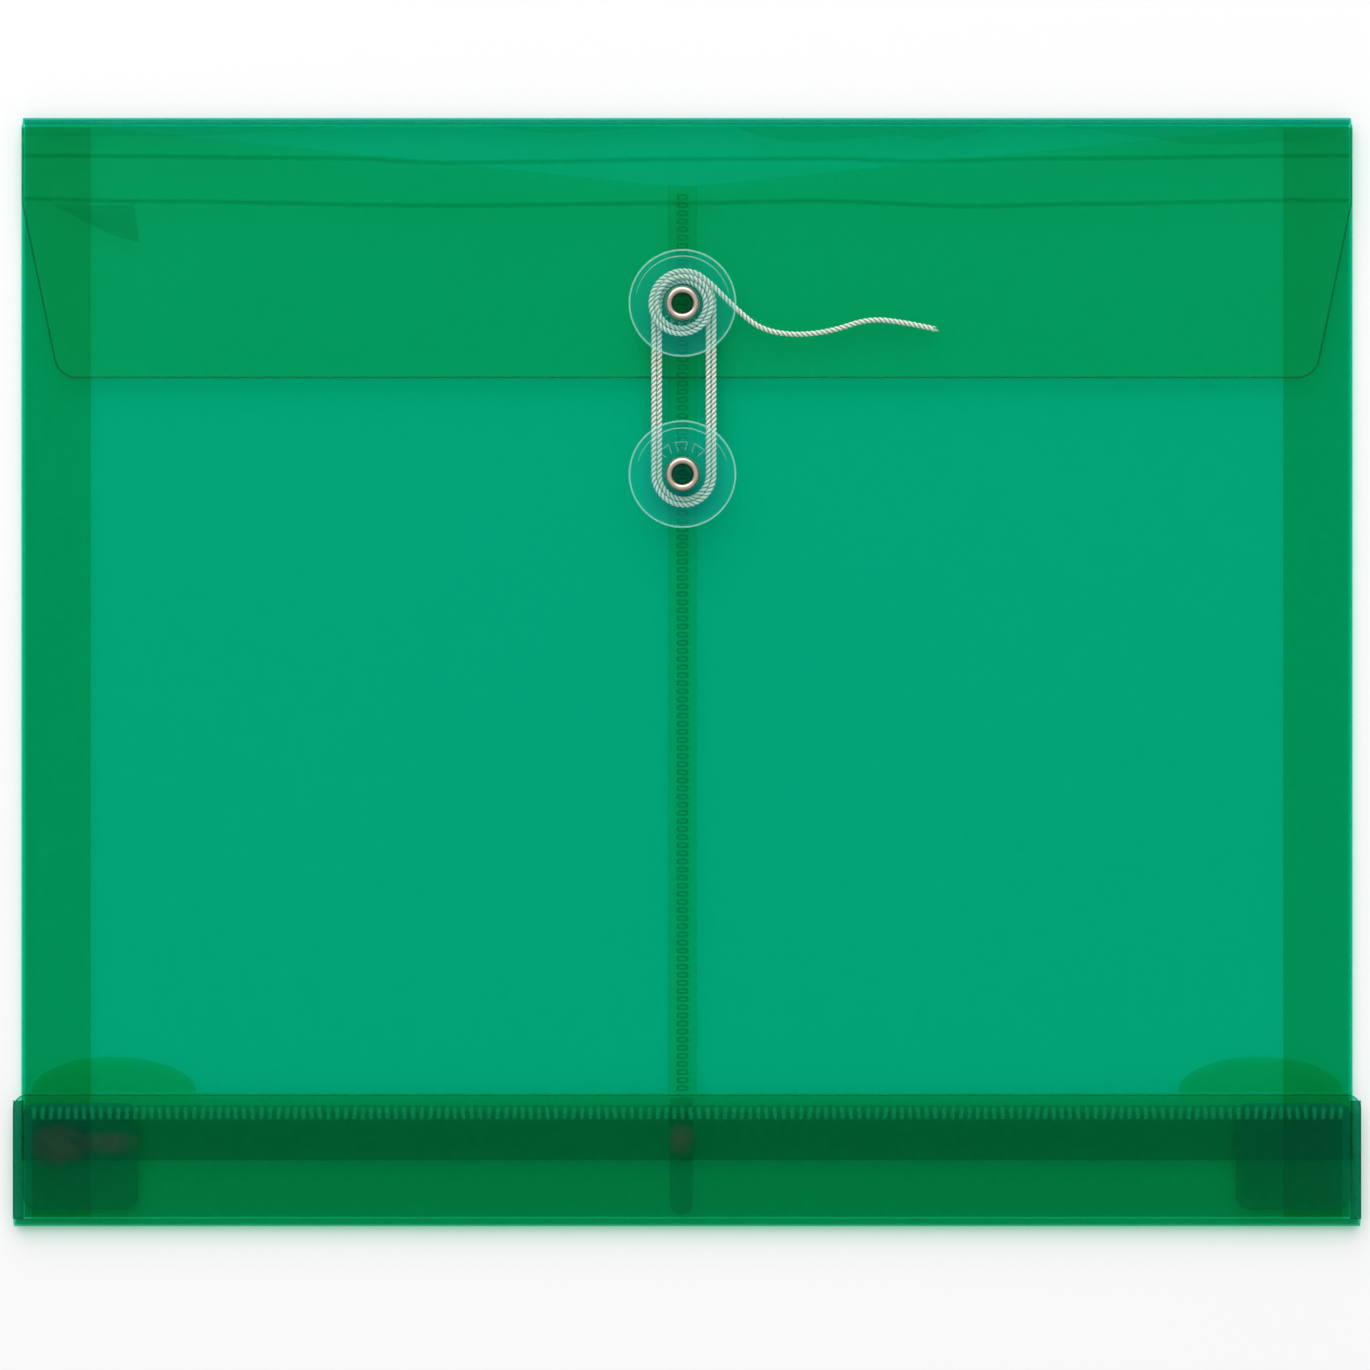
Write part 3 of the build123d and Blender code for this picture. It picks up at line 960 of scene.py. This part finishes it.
@dataclass
class BlockBottom(Part):
    """The base that folds up flat over the lower end of the front, in millimetres."""

    half: float = 149.5
    inner_z: float = 2.8
    outer_top: float = 3.55
    corner: float = 3.0
    edge_radius: float = 0.17
    edge_gap: float = 0.1
    roll_film: float = 0.1
    roll_gap: float = 0.02
    roll_bend: float = 0.45
    roll_inset: float = 2.3
    roll_short: float = 1.2
    teeth_y: float = -97.9
    teeth_end: float = 1.0
    tooth_pitch: float = 1.87
    tooth: Spot = (0.9, 2.6, 0.12)
    tooth_lean: Flat = (0.25, 0.7)
    tongue: tuple[float, float, float, float] = (-3.8, 1.3, -120.6, -94.6)
    tongue_z: Flat = (2.42, 2.72)
    scuff_rise: Flat = (0.01, 0.03)
    scuffs: tuple[tuple[str, Flat, Flat], ...] = (
        ("left", (-139.4, -104.9), (7.6, 5.2)),
        ("left_tail", (-128.6, -104.5), (8.0, 2.9)),
        ("middle", (-1.2, -103.6), (3.2, 4.0)),
    )

    def build(self) -> None:
        """Make and dress the base."""
        self.dress(Finish.BASE, "base_outer_flap")
        self.dress(Finish.INNER, "base_inner_flap")
        self.dress(Finish.TUCK, "left_base_tuck", "right_base_tuck")
        self.bottom_fold()
        self.end_rolls()
        self.cut_edge()
        self.teeth()
        self.seam_tongue()
        for name, middle, reach in self.scuffs:
            self.scuff(name, middle, reach)

    def bottom_fold(self) -> None:
        """Make the rolled fold along the bottom edge."""
        y, z = self.sheet.bottom_axis
        draft = self.sheet.rolled_fold((y, z), -1, self.half)
        piece = draft.build("bottom_rolled_fold", Finish.ROLL, True)
        bend(piece, ("back", "base"), (0, y, 0), (0, y, 2 * z), "bottom_fold")

    def end_rolls(self) -> None:
        """Make the film that is rolled over both ends of the base."""
        low_y, high_y = self.sheet.bottom_axis[0], self.sheet.base_top_y - self.roll_short
        top = self.outer_top + self.roll_gap + self.roll_film
        reach = self.half + self.roll_gap + self.roll_film
        turns = evenly(math.pi / 2, 0, 4)
        rolls = MeshDraft()
        for side in Side:
            loop: list[Spot] = []
            for inset in (0.0, self.roll_film):
                radius = self.roll_bend - inset
                path = [(self.half - self.roll_inset, top - inset)]
                for turn in turns:
                    x = reach - self.roll_bend + radius * math.cos(turn)
                    path.append((x, top - self.roll_bend + radius * math.sin(turn)))
                path.append((reach - inset, self.inner_z + self.roll_film))
                loop += [(side.value * x, low_y, z) for x, z in (path[::-1] if inset else path)]
            rolls.shell(loop, Vector((0, high_y - low_y, 0)), 6)
        place(rolls.build("base_end_rolls", Finish.END, True), "base")

    def cut_edge(self) -> None:
        """Make the cut edge of the base's outer flap: a real bead whose dark tone is partly painted shade.
        """
        low_y, high_y = self.sheet.bottom_axis[0] + self.edge_gap, self.sheet.base_top_y
        corners = [(-self.half, low_y), (-self.half, high_y), (self.half, high_y), (self.half, low_y)]
        outline = rounded(corners, (self.corner, self.corner))
        z = self.outer_top - self.edge_radius
        draft = MeshDraft()
        draft.tube([Vector((x, y, z)) for x, y in outline], self.edge_radius, 8)
        place(draft.build("base_cut_edge", Finish.EDGE, True), "base")

    def teeth(self) -> None:
        """Make the row of weld teeth that holds the inner flap."""
        wide, long, rise = self.tooth
        low_y, high_y = self.teeth_y - long / 2, self.teeth_y + long / 2
        lean_most, lean_step = self.tooth_lean
        count = int(2 * (self.sheet.right_x - self.teeth_end) / self.tooth_pitch)
        draft = MeshDraft()
        for number in range(count):
            left = (number - (count - 1) / 2) * self.tooth_pitch - wide / 2
            right = left + wide
            lean = lean_most * math.sin(number * lean_step)
            foot = [(left, low_y), (right, low_y), (right + lean, high_y), (left + lean, high_y)]
            draft.prism(foot, self.outer_top, self.outer_top + rise)
        place(draft.build("base_weld_teeth", Finish.FROST), "base")

    def seam_tongue(self) -> None:
        """Make the lower end of the front's seam, which lies under the base."""
        left, right, low, high = self.tongue
        radius = (right - left) / 2
        middle = (left + right) / 2
        outline = [(right, high), (left, high)]
        for turn in evenly(math.pi, 2 * math.pi, 12):
            outline.append((middle + radius * math.cos(turn), low + radius + radius * math.sin(turn)))
        draft = MeshDraft()
        draft.prism(outline, *self.tongue_z)
        place(draft.build("seam_tongue", Finish.TONGUE), "base")

    def scuff(self, name: str, middle: Flat, reach: Flat) -> None:
        """Make a scuff on the base.

        Args:
            name: Where it is.
            middle: Its place.
            reach: Its half width and half height.
        """
        outline: list[Flat] = []
        for turn in evenly(0, 2 * math.pi, 32)[:-1]:
            outline.append((middle[0] + reach[0] * math.cos(turn), middle[1] + reach[1] * math.sin(turn)))
        draft = MeshDraft()
        draft.prism(outline, *(self.outer_top + rise for rise in self.scuff_rise))
        place(draft.build(f"base_scuff_{name}", Finish.SCUFF), "base")


@dataclass
class Flap(Part):
    """The closing flap with its fold, score lines and cut edge, in millimetres.

    Attributes:
        score_bands: Half width and lowest and highest rise of the bands on a score line.
        scores: Name, place and sag of each score line.
        bend_z: Height where the top fold would start to follow the flap; the bend that takes it doesn't use
            it.
        fold_shade_points: The wavy lower edge of the painted shade below the top fold.
    """

    low_z: float = 3.0
    top_z: float = 3.35
    root_y: float = 121.45
    shoulder_y: float = 104.1
    tip_y: float = 65.4
    taper: float = 8.0
    corner: float = 5.0
    edge_radius: float = 0.23
    score_end: float = 0.3
    score_bands: tuple[Spot, ...] = ((0.6, 0.02, 0.07), (0.22, 0.09, 0.14))
    scores: tuple[tuple[str, float, tuple[Flat, ...]], ...] = (
        (
            "first",
            114.6,
            ((-147, 0), (-79, 0.5), (-53, 1.6), (0, 0.8), (32, 0.7), (50, 1.2), (83, 0.6), (147, 0)),
        ),
        (
            "second",
            104.1,
            (
                *((-147, -0.9), (-121, -0.4), (-53, 0.6), (3, 0), (27, -0.5)),
                *((63, 0.7), (92, 0.2), (134, -0.6), (147, -0.6)),
            ),
        ),
    )
    bend_z: float = 3.0
    fold_shade_z: Flat = (2.62, 2.82)
    fold_shade_gap: float = 0.1
    fold_shade_least: float = 0.05
    fold_shade_points: tuple[Flat, ...] = (
        *((-147, 119.2), (-132, 119.0), (-110, 119.0), (-88, 120.1), (-76, 121.3), (-52, 121.2)),
        *((-44, 120.8), (-28, 119.6), (-14, 120.5), (2, 121.3), (10, 121.2), (17, 118.8), (26.5, 117.6)),
        *((38, 118.5), (46, 119.2), (55, 118.3), (62, 119.2), (70, 121.2), (80, 121.3), (89, 120.5)),
        *((100, 119.0), (112, 117.4), (119, 117.1), (134, 117.9), (147, 119.6)),
    )

    def build(self) -> None:
        """Make and dress the flap."""
        self.dress(Finish.FLAP, "flap_root_strip", "flap_mid_strip", "flap_panel")
        self.top_fold()
        for name, y, sags in self.scores:
            self.score_line(name, y, sags)
        self.cut_edge()
        self.fold_shade()

    def top_fold(self) -> None:
        """Make the rolled fold along the top edge."""
        y, z = self.sheet.top_axis
        draft = self.sheet.rolled_fold((y, z), 1, self.sheet.right_x)
        piece = draft.build("top_rolled_fold", Finish.FOLD, True)
        bend(piece, ("front", "flap"), (0, y, self.bend_z), (0, y, 2 * z), "top_fold")

    def score_line(self, name: str, y: float, sags: Sequence[Flat]) -> None:
        """Make the pressed band along a score line, a narrow one on a wide one, whose darker film is
        painted shade in the crease.

        Args:
            name: Which score line.
            y: Its place.
            sags: How far it sags below that, by x.
        """
        reach = self.sheet.right_x - self.score_end
        line = [(x, y - eased(sags, x)) for x in evenly(-reach, reach, 60)]
        draft = MeshDraft()
        for half, low, high in self.score_bands:
            outline = [(x, middle - half) for x, middle in line]
            outline += [(x, middle + half) for x, middle in reversed(line)]
            draft.prism(outline, self.top_z + low, self.top_z + high)
        place(draft.build(f"flap_{name}_score_band", Finish.CREASE), "flap")

    def cut_edge(self) -> None:
        """Make the cut edge round the flap's panel: a real bead whose dark tone is partly painted shade."""
        right = self.sheet.right_x
        side = [(right, self.root_y), (right, self.shoulder_y), (right - self.taper, self.tip_y)]
        corners = [(-x, y) for x, y in side] + side[::-1]
        middle = (self.low_z + self.top_z) / 2
        radii = (self.taper, self.corner, self.corner, self.taper)
        draft = MeshDraft()
        draft.tube([Vector((x, y, middle)) for x, y in rounded(corners, radii)], self.edge_radius, 8)
        place(draft.build("flap_cut_edge", Finish.EDGE, True), "flap")

    def fold_shade(self) -> None:
        """Make the strip of film inside the flap's root whose darker band, with its wavy lower edge, is
        painted shade below the top fold.
        """
        high_y = self.sheet.top_axis[0] - self.fold_shade_gap
        low, high = self.fold_shade_z
        rings: list[list[Vector]] = []
        for x in evenly(self.fold_shade_points[0][0], self.fold_shade_points[-1][0], 100):
            low_y = min(high_y - self.fold_shade_least, eased(self.fold_shade_points, x))
            section = ((low_y, low), (low_y, high), (high_y, high), (high_y, low))
            rings.append([Vector((x, y, z)) for y, z in section])
        draft = MeshDraft()
        draft.loft(rings)
        place(draft.build("flap_root_fold_shade", Finish.FOLD_SHADE), "flap")


@dataclass
class Button(Part):
    """A clear disc that an eyelet rivets to the film, in millimetres.

    Attributes:
        inner_ring: Radius of the fainter line inside the rim.
        inner_arc: First and last degree of that line.
        petal_angles: Degrees of the moulded petals round the hub.
        petal_corners: Degrees from a petal's middle to its near and far corners.
        inner_line: Least radius of the fainter line, and how much it swells.
    """

    name: str
    y: float
    inner_ring: float
    inner_arc: Flat
    petal_angles: tuple[float, ...]
    petal_reach: Flat = (5.2, 7.3)
    petal_corners: Flat = (8.0, 11.0)
    petal_line: float = 0.13
    petal_drop: float = 0.1
    disc_low: float = 6.65
    disc_top: float = 7.55
    rim_top: float = 7.8
    rim_inset: float = 0.3
    rim_line: float = 0.2
    inner_line: Flat = (0.03, 0.1)
    radius: float = 12.0

    def build(self) -> None:
        """Dress the button and make its rim lines and petals."""
        self.dress(Finish.CLEAR, f"{self.name}_button_disc")
        self.dress(Finish.WASHER, f"{self.name}_washer")
        self.dress(Finish.METAL, f"{self.name}_eyelet")
        self.rims()
        self.petals()

    def around(self, radius: float, degrees: float, height: float) -> Vector:
        """A point round the button's axis.

        Args:
            radius: Its distance from the axis.
            degrees: Its angle from the right.
            height: Its height.

        Returns:
            The point.
        """
        turn = math.radians(degrees)
        x, y = self.sheet.button_x + radius * math.cos(turn), self.y + radius * math.sin(turn)
        return Vector((x, y, height))

    def rims(self) -> None:
        """Make the line of the rim and the fainter one inside it, both raised and drawn bright as painted
        highlights.
        """
        least, swell = self.inner_line
        ring = self.radius - self.rim_inset
        rims = MeshDraft()
        circle = [self.around(ring, degrees, self.rim_top) for degrees in evenly(0, 360, 96)[:-1]]
        rims.tube(circle, self.rim_line, 8, True)
        # Painted highlight: the fainter line is drawn only along one arc, the side where light catches it.
        arc = evenly(*self.inner_arc, 60)
        line = [self.around(self.inner_ring, degrees, self.disc_top) for degrees in arc]
        rims.tube(line, lambda share: least + swell * math.sin(math.pi * share), 6)
        piece = rims.build(f"{self.name}_disc_rims", Finish.RIM_HIGHLIGHT, True)
        place(piece, f"{self.name}_button", slot=Slot.CLEAR)

    def petals(self) -> None:
        """Make the moulded petals round the hub, as fine raised outlines under the disc, drawn bright as
        painted highlights.
        """
        near, far = self.petal_reach
        near_turn, far_turn = self.petal_corners
        corners = ((near, -near_turn), (far, -far_turn), (far, far_turn), (near, near_turn))
        height = self.disc_low - self.petal_drop
        petals = MeshDraft()
        for middle in self.petal_angles:
            line = [self.around(radius, middle + aside, height) for radius, aside in corners]
            petals.tube(line, self.petal_line, 6)
        piece = petals.build(f"{self.name}_hub_petals", Finish.RIM_HIGHLIGHT, True)
        place(piece, f"{self.name}_button", slot=Slot.CLEAR)


@dataclass
class TieString(Part):
    """The string: loops round both buttons, a ring under the upper disc and a free tail, in millimetres.

    Attributes:
        half_step: How much a turn grows in half of it.
        strands: Straight strands between the buttons.
        ring_halves: Half turns of the ring after the climb.
        turn_corners: Control points of a half turn.
        lay: Length of one twist of the plies.
        step: Distance between the points of a centreline.
        groove_top: Share of the string's radius below which the painted shade of a groove starts.
        groove_depth: Share of the radius from there to where that painted shade is full.
        strand_ends: Distance of a straight strand's points from each hub.
        start_angles: Degrees of the first turn's points.
        exit_angles: Degrees of the last turn's points.
        gathered: Share of the loops' length that is left when the flap is open; not used.
        end_points: Points at the tail's end that show which way it goes.
        fibre_back: How far back from the tail's end a loose fibre starts.
        fibre_from: Share of its way aside where it starts.
    """

    inner_turn: float = 5.1
    half_step: float = 0.62
    strands: int = 4
    ring_halves: int = 3
    turn_corners: int = 6
    low_z: float = 4.1
    high_z: float = 5.9
    diameter: float = 1.2
    plies: int = 2
    ply_radius: float = 0.31
    ply_sides: int = 8
    groove_top: float = 0.93
    groove_depth: float = 0.3
    lay: float = 2.2
    step: float = 0.13
    strand_ends: Flat = (1.6, 7.2)
    start_angles: tuple[float, ...] = (75, 45, 15)
    exit_angles: tuple[float, ...] = (166, 138, 110, 82, 54)
    tail: tuple[Spot, ...] = (
        (11.15, 80.05, 5.9),
        (16.3, 75.9, 5.0),
        (23.6, 74.6, 4.4),
        (32.0, 75.5, 4.25),
        (40.0, 78.3, 4.3),
        (47.5, 77.7, 4.2),
        (54.8, 76.1, 4.2),
    )
    end_points: int = 4
    fibres: int = 16
    fibre_radius: float = 0.07
    fibre_taper: float = 0.7
    fibre_long: Flat = (0.7, 1.6)
    fibre_aside: Flat = (-0.5, 0.5)
    fibre_rise: Flat = (-0.15, 0.2)
    fibre_back: float = 0.6
    fibre_from: float = 0.5
    fibre_curl: float = 0.9
    fibre_seed: int = 7
    gathered: float = 0.3

    def build(self) -> None:
        loops = self.centreline("loops_line", self.loops_route())
        draft = MeshDraft()
        self.twisted(draft, loops)
        piece = draft.build("string_loops", Finish.STRING, True)
        place(piece, "flap", "tie_string", slot=Slot.STRING)
        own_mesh(piece)
        self.declare(piece, loops, "object", "coiled")
        ring = self.centreline("ring_line", self.ring_route())
        draft = MeshDraft()
        self.twisted(draft, ring)
        self.fray(draft, ring)
        piece = draft.build("string_ring_and_tail", Finish.STRING, True)
        place(piece, "flap", "string_tail", slot=Slot.STRING)
        self.declare(piece, ring, "bare", "loose")

    def arc(
        self, centre: Flat, radius: float, angles: Sequence[float], heights: Sequence[float]
    ) -> list[Spot]:
        """Control points of a turn, on the polygon that its circle touches.

        Args:
            centre: Middle of the turn, from the button's x and in y.
            radius: Radius of the turn.
            angles: Degrees of the polygon's corners.
            heights: Height at each corner.

        Returns:
            The corners.
        """
        far = radius / math.cos(math.radians(abs(angles[1] - angles[0]) / 2))
        made: list[Spot] = []
        for angle, height in zip(angles, heights):
            turn = math.radians(angle)
            x = self.sheet.button_x + centre[0] + far * math.cos(turn)
            made.append((x, centre[1] + far * math.sin(turn), height))
        return made

    def half_turn(self, start: float, end: float, hub_y: float, heights: Flat, over: bool) -> list[Spot]:
        """Control points of a half turn beside a hub.

        Args:
            start: Offset from the hub where it begins.
            end: Offset where it ends.
            hub_y: Place of the hub.
            heights: Its first and last height.
            over: Whether it goes round the upper side of the hub.

        Returns:
            Its corners.
        """
        shares = [(corner + 0.5) / self.turn_corners for corner in range(self.turn_corners)]
        way = 1 if over else -1
        first = 0.0 if start > end else 180.0
        sweep = way * (180.0 if start > end else -180.0)
        angles = [first + sweep * share for share in shares]
        levels = [heights[0] + (heights[1] - heights[0]) * share for share in shares]
        return self.arc(((start + end) / 2, hub_y), abs(start - end) / 2, angles, levels)

    def strand(self, offset: float, start_y: float, end_y: float) -> list[Spot]:
        """Control points of a straight strand between the buttons.

        Args:
            offset: Its place from the buttons' x.
            start_y: Place of the hub that it leaves.
            end_y: Place of the hub that it goes to.

        Returns:
            Four points.
        """
        way = 1 if end_y > start_y else -1
        places = [start_y + way * end for end in self.strand_ends]
        places += [end_y - way * end for end in reversed(self.strand_ends)]
        return [(self.sheet.button_x + offset, y, self.low_z) for y in places]

    def climb(self) -> tuple[list[Spot], Spot]:
        """Control points of the half turn that climbs from the loops to the ring.

        Returns:
            Its corners, and the point at the middle of it, where the two pieces meet.
        """
        upper_y = self.sheet.button_ys[0]
        heights = (self.low_z, self.high_z)
        corners = self.half_turn(-self.inner_turn, self.inner_turn, upper_y, heights, True)
        return corners, (self.sheet.button_x, upper_y + self.inner_turn, sum(heights) / 2)

    def loops_route(self) -> list[Spot]:
        """Control points from the string's tied start to the middle of its climb.

        Returns:
            The points.
        """
        upper_y, lower_y = self.sheet.button_ys
        outer = self.inner_turn + (self.strands - 1) * self.half_step
        start_radius = outer + self.half_step / 2
        start_x = self.sheet.button_x - self.half_step / 2
        route = [(start_x - self.diameter, upper_y + start_radius, self.low_z)]
        heights = [self.low_z] * len(self.start_angles)
        route += self.arc((-self.half_step / 2, upper_y), start_radius, self.start_angles, heights)
        offsets = [outer - number * self.half_step for number in range(self.strands)]
        level = (self.low_z, self.low_z)
        for number, (right, left) in enumerate(zip(offsets[::2], offsets[1::2])):
            if number:
                route += self.half_turn(-offsets[1], right, upper_y, level, True)
            route += self.strand(right, upper_y, lower_y)
            route += self.half_turn(right, -left, lower_y, level, False)
            route += self.strand(-left, lower_y, upper_y)
        corners, middle = self.climb()
        return [*route, *corners[: self.turn_corners // 2], middle]

    def ring_route(self) -> list[Spot]:
        """Control points from the middle of the climb to the end of the tail.

        Returns:
            The points.
        """
        upper_y = self.sheet.button_ys[0]
        corners, middle = self.climb()
        route = [middle, *corners[self.turn_corners // 2 :]]
        offset = self.inner_turn
        level = (self.high_z, self.high_z)
        for number in range(self.ring_halves):
            following = -math.copysign(abs(offset) + self.half_step, offset)
            route += self.half_turn(offset, following, upper_y, level, number % 2 == 1)
            offset = following
        exit_radius = abs(offset) + self.half_step / 2
        heights = [self.high_z] * len(self.exit_angles)
        route += self.arc((self.half_step / 2, upper_y), exit_radius, self.exit_angles, heights)
        return route + list(self.tail)

    def centreline(self, name: str, route: Sequence[Spot]) -> list[Vector]:
        """Points along the smooth curve of a route.

        Args:
            name: Name of the curve.
            route: Its control points.

        Returns:
            Points an even step apart.
        """
        data = bpy.data.curves.new(name, "CURVE")
        data.dimensions = "3D"
        spline = data.splines.new("NURBS")
        spline.points.add(len(route) - 1)
        for point, spot in zip(spline.points, route):
            point.co = (*spot, 1.0)
        spline.order_u = 3
        spline.use_endpoint_u = True
        spline.resolution_u = 16
        curve = bpy.data.objects.new(name, data)
        mesh = bpy.data.meshes.new_from_object(curve)
        read = [vertex.co.copy() for vertex in mesh.vertices]
        bpy.data.objects.remove(curve)
        bpy.data.curves.remove(data)
        bpy.data.meshes.remove(mesh)
        lengths = [0.0]
        for before, after in zip(read, read[1:]):
            lengths.append(lengths[-1] + (after - before).length)
        made: list[Vector] = []
        here = 0
        for along in evenly(0.0, lengths[-1], int(lengths[-1] / self.step)):
            while here < len(read) - 2 and lengths[here + 1] < along:
                here += 1
            share = (along - lengths[here]) / (lengths[here + 1] - lengths[here])
            made.append(read[here].lerp(read[here + 1], share))
        return made

    def twisted(self, draft: MeshDraft, line: Sequence[Vector]) -> None:
        """Add the twisted plies of the string along a line.

        Args:
            draft: The draft that they go into.
            line: The string's centreline, an even step apart.
        """
        away = self.diameter / 2 - self.ply_radius
        for ply in range(self.plies):
            twist: list[Vector] = []
            for here, (centre, across, beside) in enumerate(square_to(line)):
                turn = 2 * math.pi * (ply / self.plies + here * self.step / self.lay)
                twist.append(centre + (across * math.cos(turn) + beside * math.sin(turn)) * away)
            # Painted shade: the deeper a point lies in the twist, the more of the groove colour it takes.
            first = len(draft.points)
            draft.tube(twist, self.ply_radius, self.ply_sides)
            for number, point in enumerate(draft.points[first:]):
                out = (point - line[number // self.ply_sides]).length / (self.diameter / 2)
                draft.groove_shades.append(min(1.0, max(0.0, (self.groove_top - out) / self.groove_depth)))

    def fray(self, draft: MeshDraft, line: Sequence[Vector]) -> None:
        """Add loose fibres at the free end of the tail.

        Args:
            draft: The draft that they go into.
            line: The tail's centreline.
        """
        draw = random.Random(self.fibre_seed)
        reaches = (self.fibre_aside, self.fibre_aside, self.fibre_rise)
        ahead = (line[-1] - line[-self.end_points]).normalized()
        for _ in range(self.fibres):
            way = Vector([draw.uniform(*reach) for reach in reaches])
            long = draw.uniform(*self.fibre_long)
            start = line[-1] - ahead * self.fibre_back + way * self.fibre_from
            fibre: list[Vector] = []
            for share in evenly(0, 1, 5):
                fibre.append(start + ahead * (long * share) + way * (share**2 * self.fibre_curl))
            draft.tube(fibre, lambda share: self.fibre_radius * (1 - self.fibre_taper * share), 4)
        draft.groove_shades += [0.0] * (len(draft.points) - len(draft.groove_shades))

    def declare(self, piece: bpy.types.Object, line: Sequence[Vector], far_end: str, lay: str) -> None:
        """Left empty: it doesn't say that a piece is a cord.

        Args:
            piece: The piece; not used.
            line: Its centreline; not used.
            far_end: What is at its far end; not used.
            lay: How it lies; not used.
        """


@dataclass
class Stage:
    """Floor, light and camera, in metres.

    Attributes:
        look_at: Point under the middle of the photograph.
        seen: Width of what the photograph shows.
        lens: Focal length of the camera in millimetres.
        sensor: Width of the camera's sensor in millimetres.
        sky: Strength of the sky's light.
        low_shine: Strength of the sky near the horizon, as shiny surfaces show it.
        shine_heights: Heights between which the shown sky grows bright.
        lamp_place: Place of the lamp, which points at the origin.
        lamp_power: Power of the lamp in watts.
        lamp_size: Width of the lamp.
        floor_half: Half of the floor's width.
        floor_z: Height of the floor.
        layers: Layers of film that a ray may go through.
    """

    look_at: Spot = (-0.00044, -0.00289, 0.003)
    seen: float = 0.3042
    lens: float = 110.0
    sensor: float = 36.0
    sky: float = 0.56
    low_shine: float = 0.12
    shine_heights: Flat = (0.1, 0.9)
    lamp_place: Spot = (-0.4, 2.9, 2.75)
    lamp_power: float = 154.0
    lamp_size: float = 5.0
    floor_half: float = 3.0
    floor_z: float = -0.00025
    layers: int = 32

    def build(self) -> None:
        """Make the floor, the light and the camera."""
        scene = bpy.context.scene
        scene.view_settings.view_transform = "Standard"
        scene.cycles.transparent_max_bounces = self.layers
        self.floor()
        scene.world = self.even_sky()
        self.lamp()
        self.camera()

    def floor(self) -> None:
        """Make the pale floor just under the envelope."""
        half, low = self.floor_half / MM, self.floor_z / MM
        corners = [(-half, -half, low), (half, -half, low), (half, half, low), (-half, half, low)]
        draft = MeshDraft()
        draft.add(corners, [(0, 1, 2, 3)])
        draft.build("floor", Finish.FLOOR)

    def even_sky(self) -> bpy.types.World:
        """Make an even white sky, dimmer near the horizon where shiny surfaces show it.

        Returns:
            The world.
        """
        world = bpy.data.worlds.new("sky")
        world.use_nodes = True
        nodes, links = world.node_tree.nodes, world.node_tree.links
        background = nodes["Background"]
        background.inputs["Color"].default_value = (*WHITE, 1.0)
        path = nodes.new("ShaderNodeLightPath")
        way = nodes.new("ShaderNodeTexCoord")
        height = nodes.new("ShaderNodeSeparateXYZ")
        shine = nodes.new("ShaderNodeMapRange")
        shine.inputs["From Min"].default_value, shine.inputs["From Max"].default_value = self.shine_heights
        shine.inputs["To Min"].default_value = self.low_shine
        links.new(way.outputs["Generated"], height.inputs[0])
        links.new(height.outputs["Z"], shine.inputs["Value"])
        level = nodes.new("ShaderNodeMix")
        level.inputs[2].default_value = self.sky
        links.new(path.outputs["Is Glossy Ray"], level.inputs[0])
        links.new(shine.outputs["Result"], level.inputs[3])
        seen = nodes.new("ShaderNodeMix")
        seen.inputs[3].default_value = 1.0
        links.new(path.outputs["Is Camera Ray"], seen.inputs[0])
        links.new(level.outputs[0], seen.inputs[2])
        links.new(seen.outputs[0], background.inputs["Strength"])
        return world

    def lamp(self) -> None:
        """Make one soft lamp above the flap's side."""
        data = bpy.data.lights.new("soft_lamp", "AREA")
        data.shape = "DISK"
        data.size = self.lamp_size
        data.energy = self.lamp_power
        lamp = bpy.data.objects.new("soft_lamp", data)
        lamp.location = self.lamp_place
        lamp.rotation_mode = "QUATERNION"
        lamp.rotation_quaternion = (-Vector(self.lamp_place)).to_track_quat("-Z", "Y")
        bpy.context.scene.collection.objects.link(lamp)

    def camera(self) -> None:
        """Make the camera, straight above the envelope."""
        data = bpy.data.cameras.new("camera")
        data.lens = self.lens
        data.sensor_width = self.sensor
        made = bpy.data.objects.new("camera", data)
        height = self.seen / 2 / (self.sensor / 2 / self.lens)
        made.location = Vector(self.look_at) + Vector((0, 0, height))
        bpy.context.scene.collection.objects.link(made)
        bpy.context.scene.camera = made


def main() -> None:
    """Build the envelope in order: stage, string, pouch, base, flap and buttons."""
    logging.basicConfig(level=logging.INFO)
    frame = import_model()
    sheet = Sheet()
    Stage().build()
    upper_button = Button(
        frame,
        sheet,
        name="upper",
        y=sheet.button_ys[0],
        inner_ring=10.4,
        inner_arc=(10, 170),
        petal_angles=(228, 252, 276, 300),
        petal_reach=(4.1, 5.5),
    )
    lower_button = Button(
        frame,
        sheet,
        name="lower",
        y=sheet.button_ys[1],
        inner_ring=10.2,
        inner_arc=(15, 165),
        petal_angles=(58, 92, 126),
    )
    string, pouch, base, flap = (kind(frame, sheet) for kind in (TieString, Pouch, BlockBottom, Flap))
    for part in (string, pouch, base, flap, upper_button, lower_button):
        part.build()
        LOG.info("%s is done", type(part).__name__)


if __name__ == "__main__":
    main()
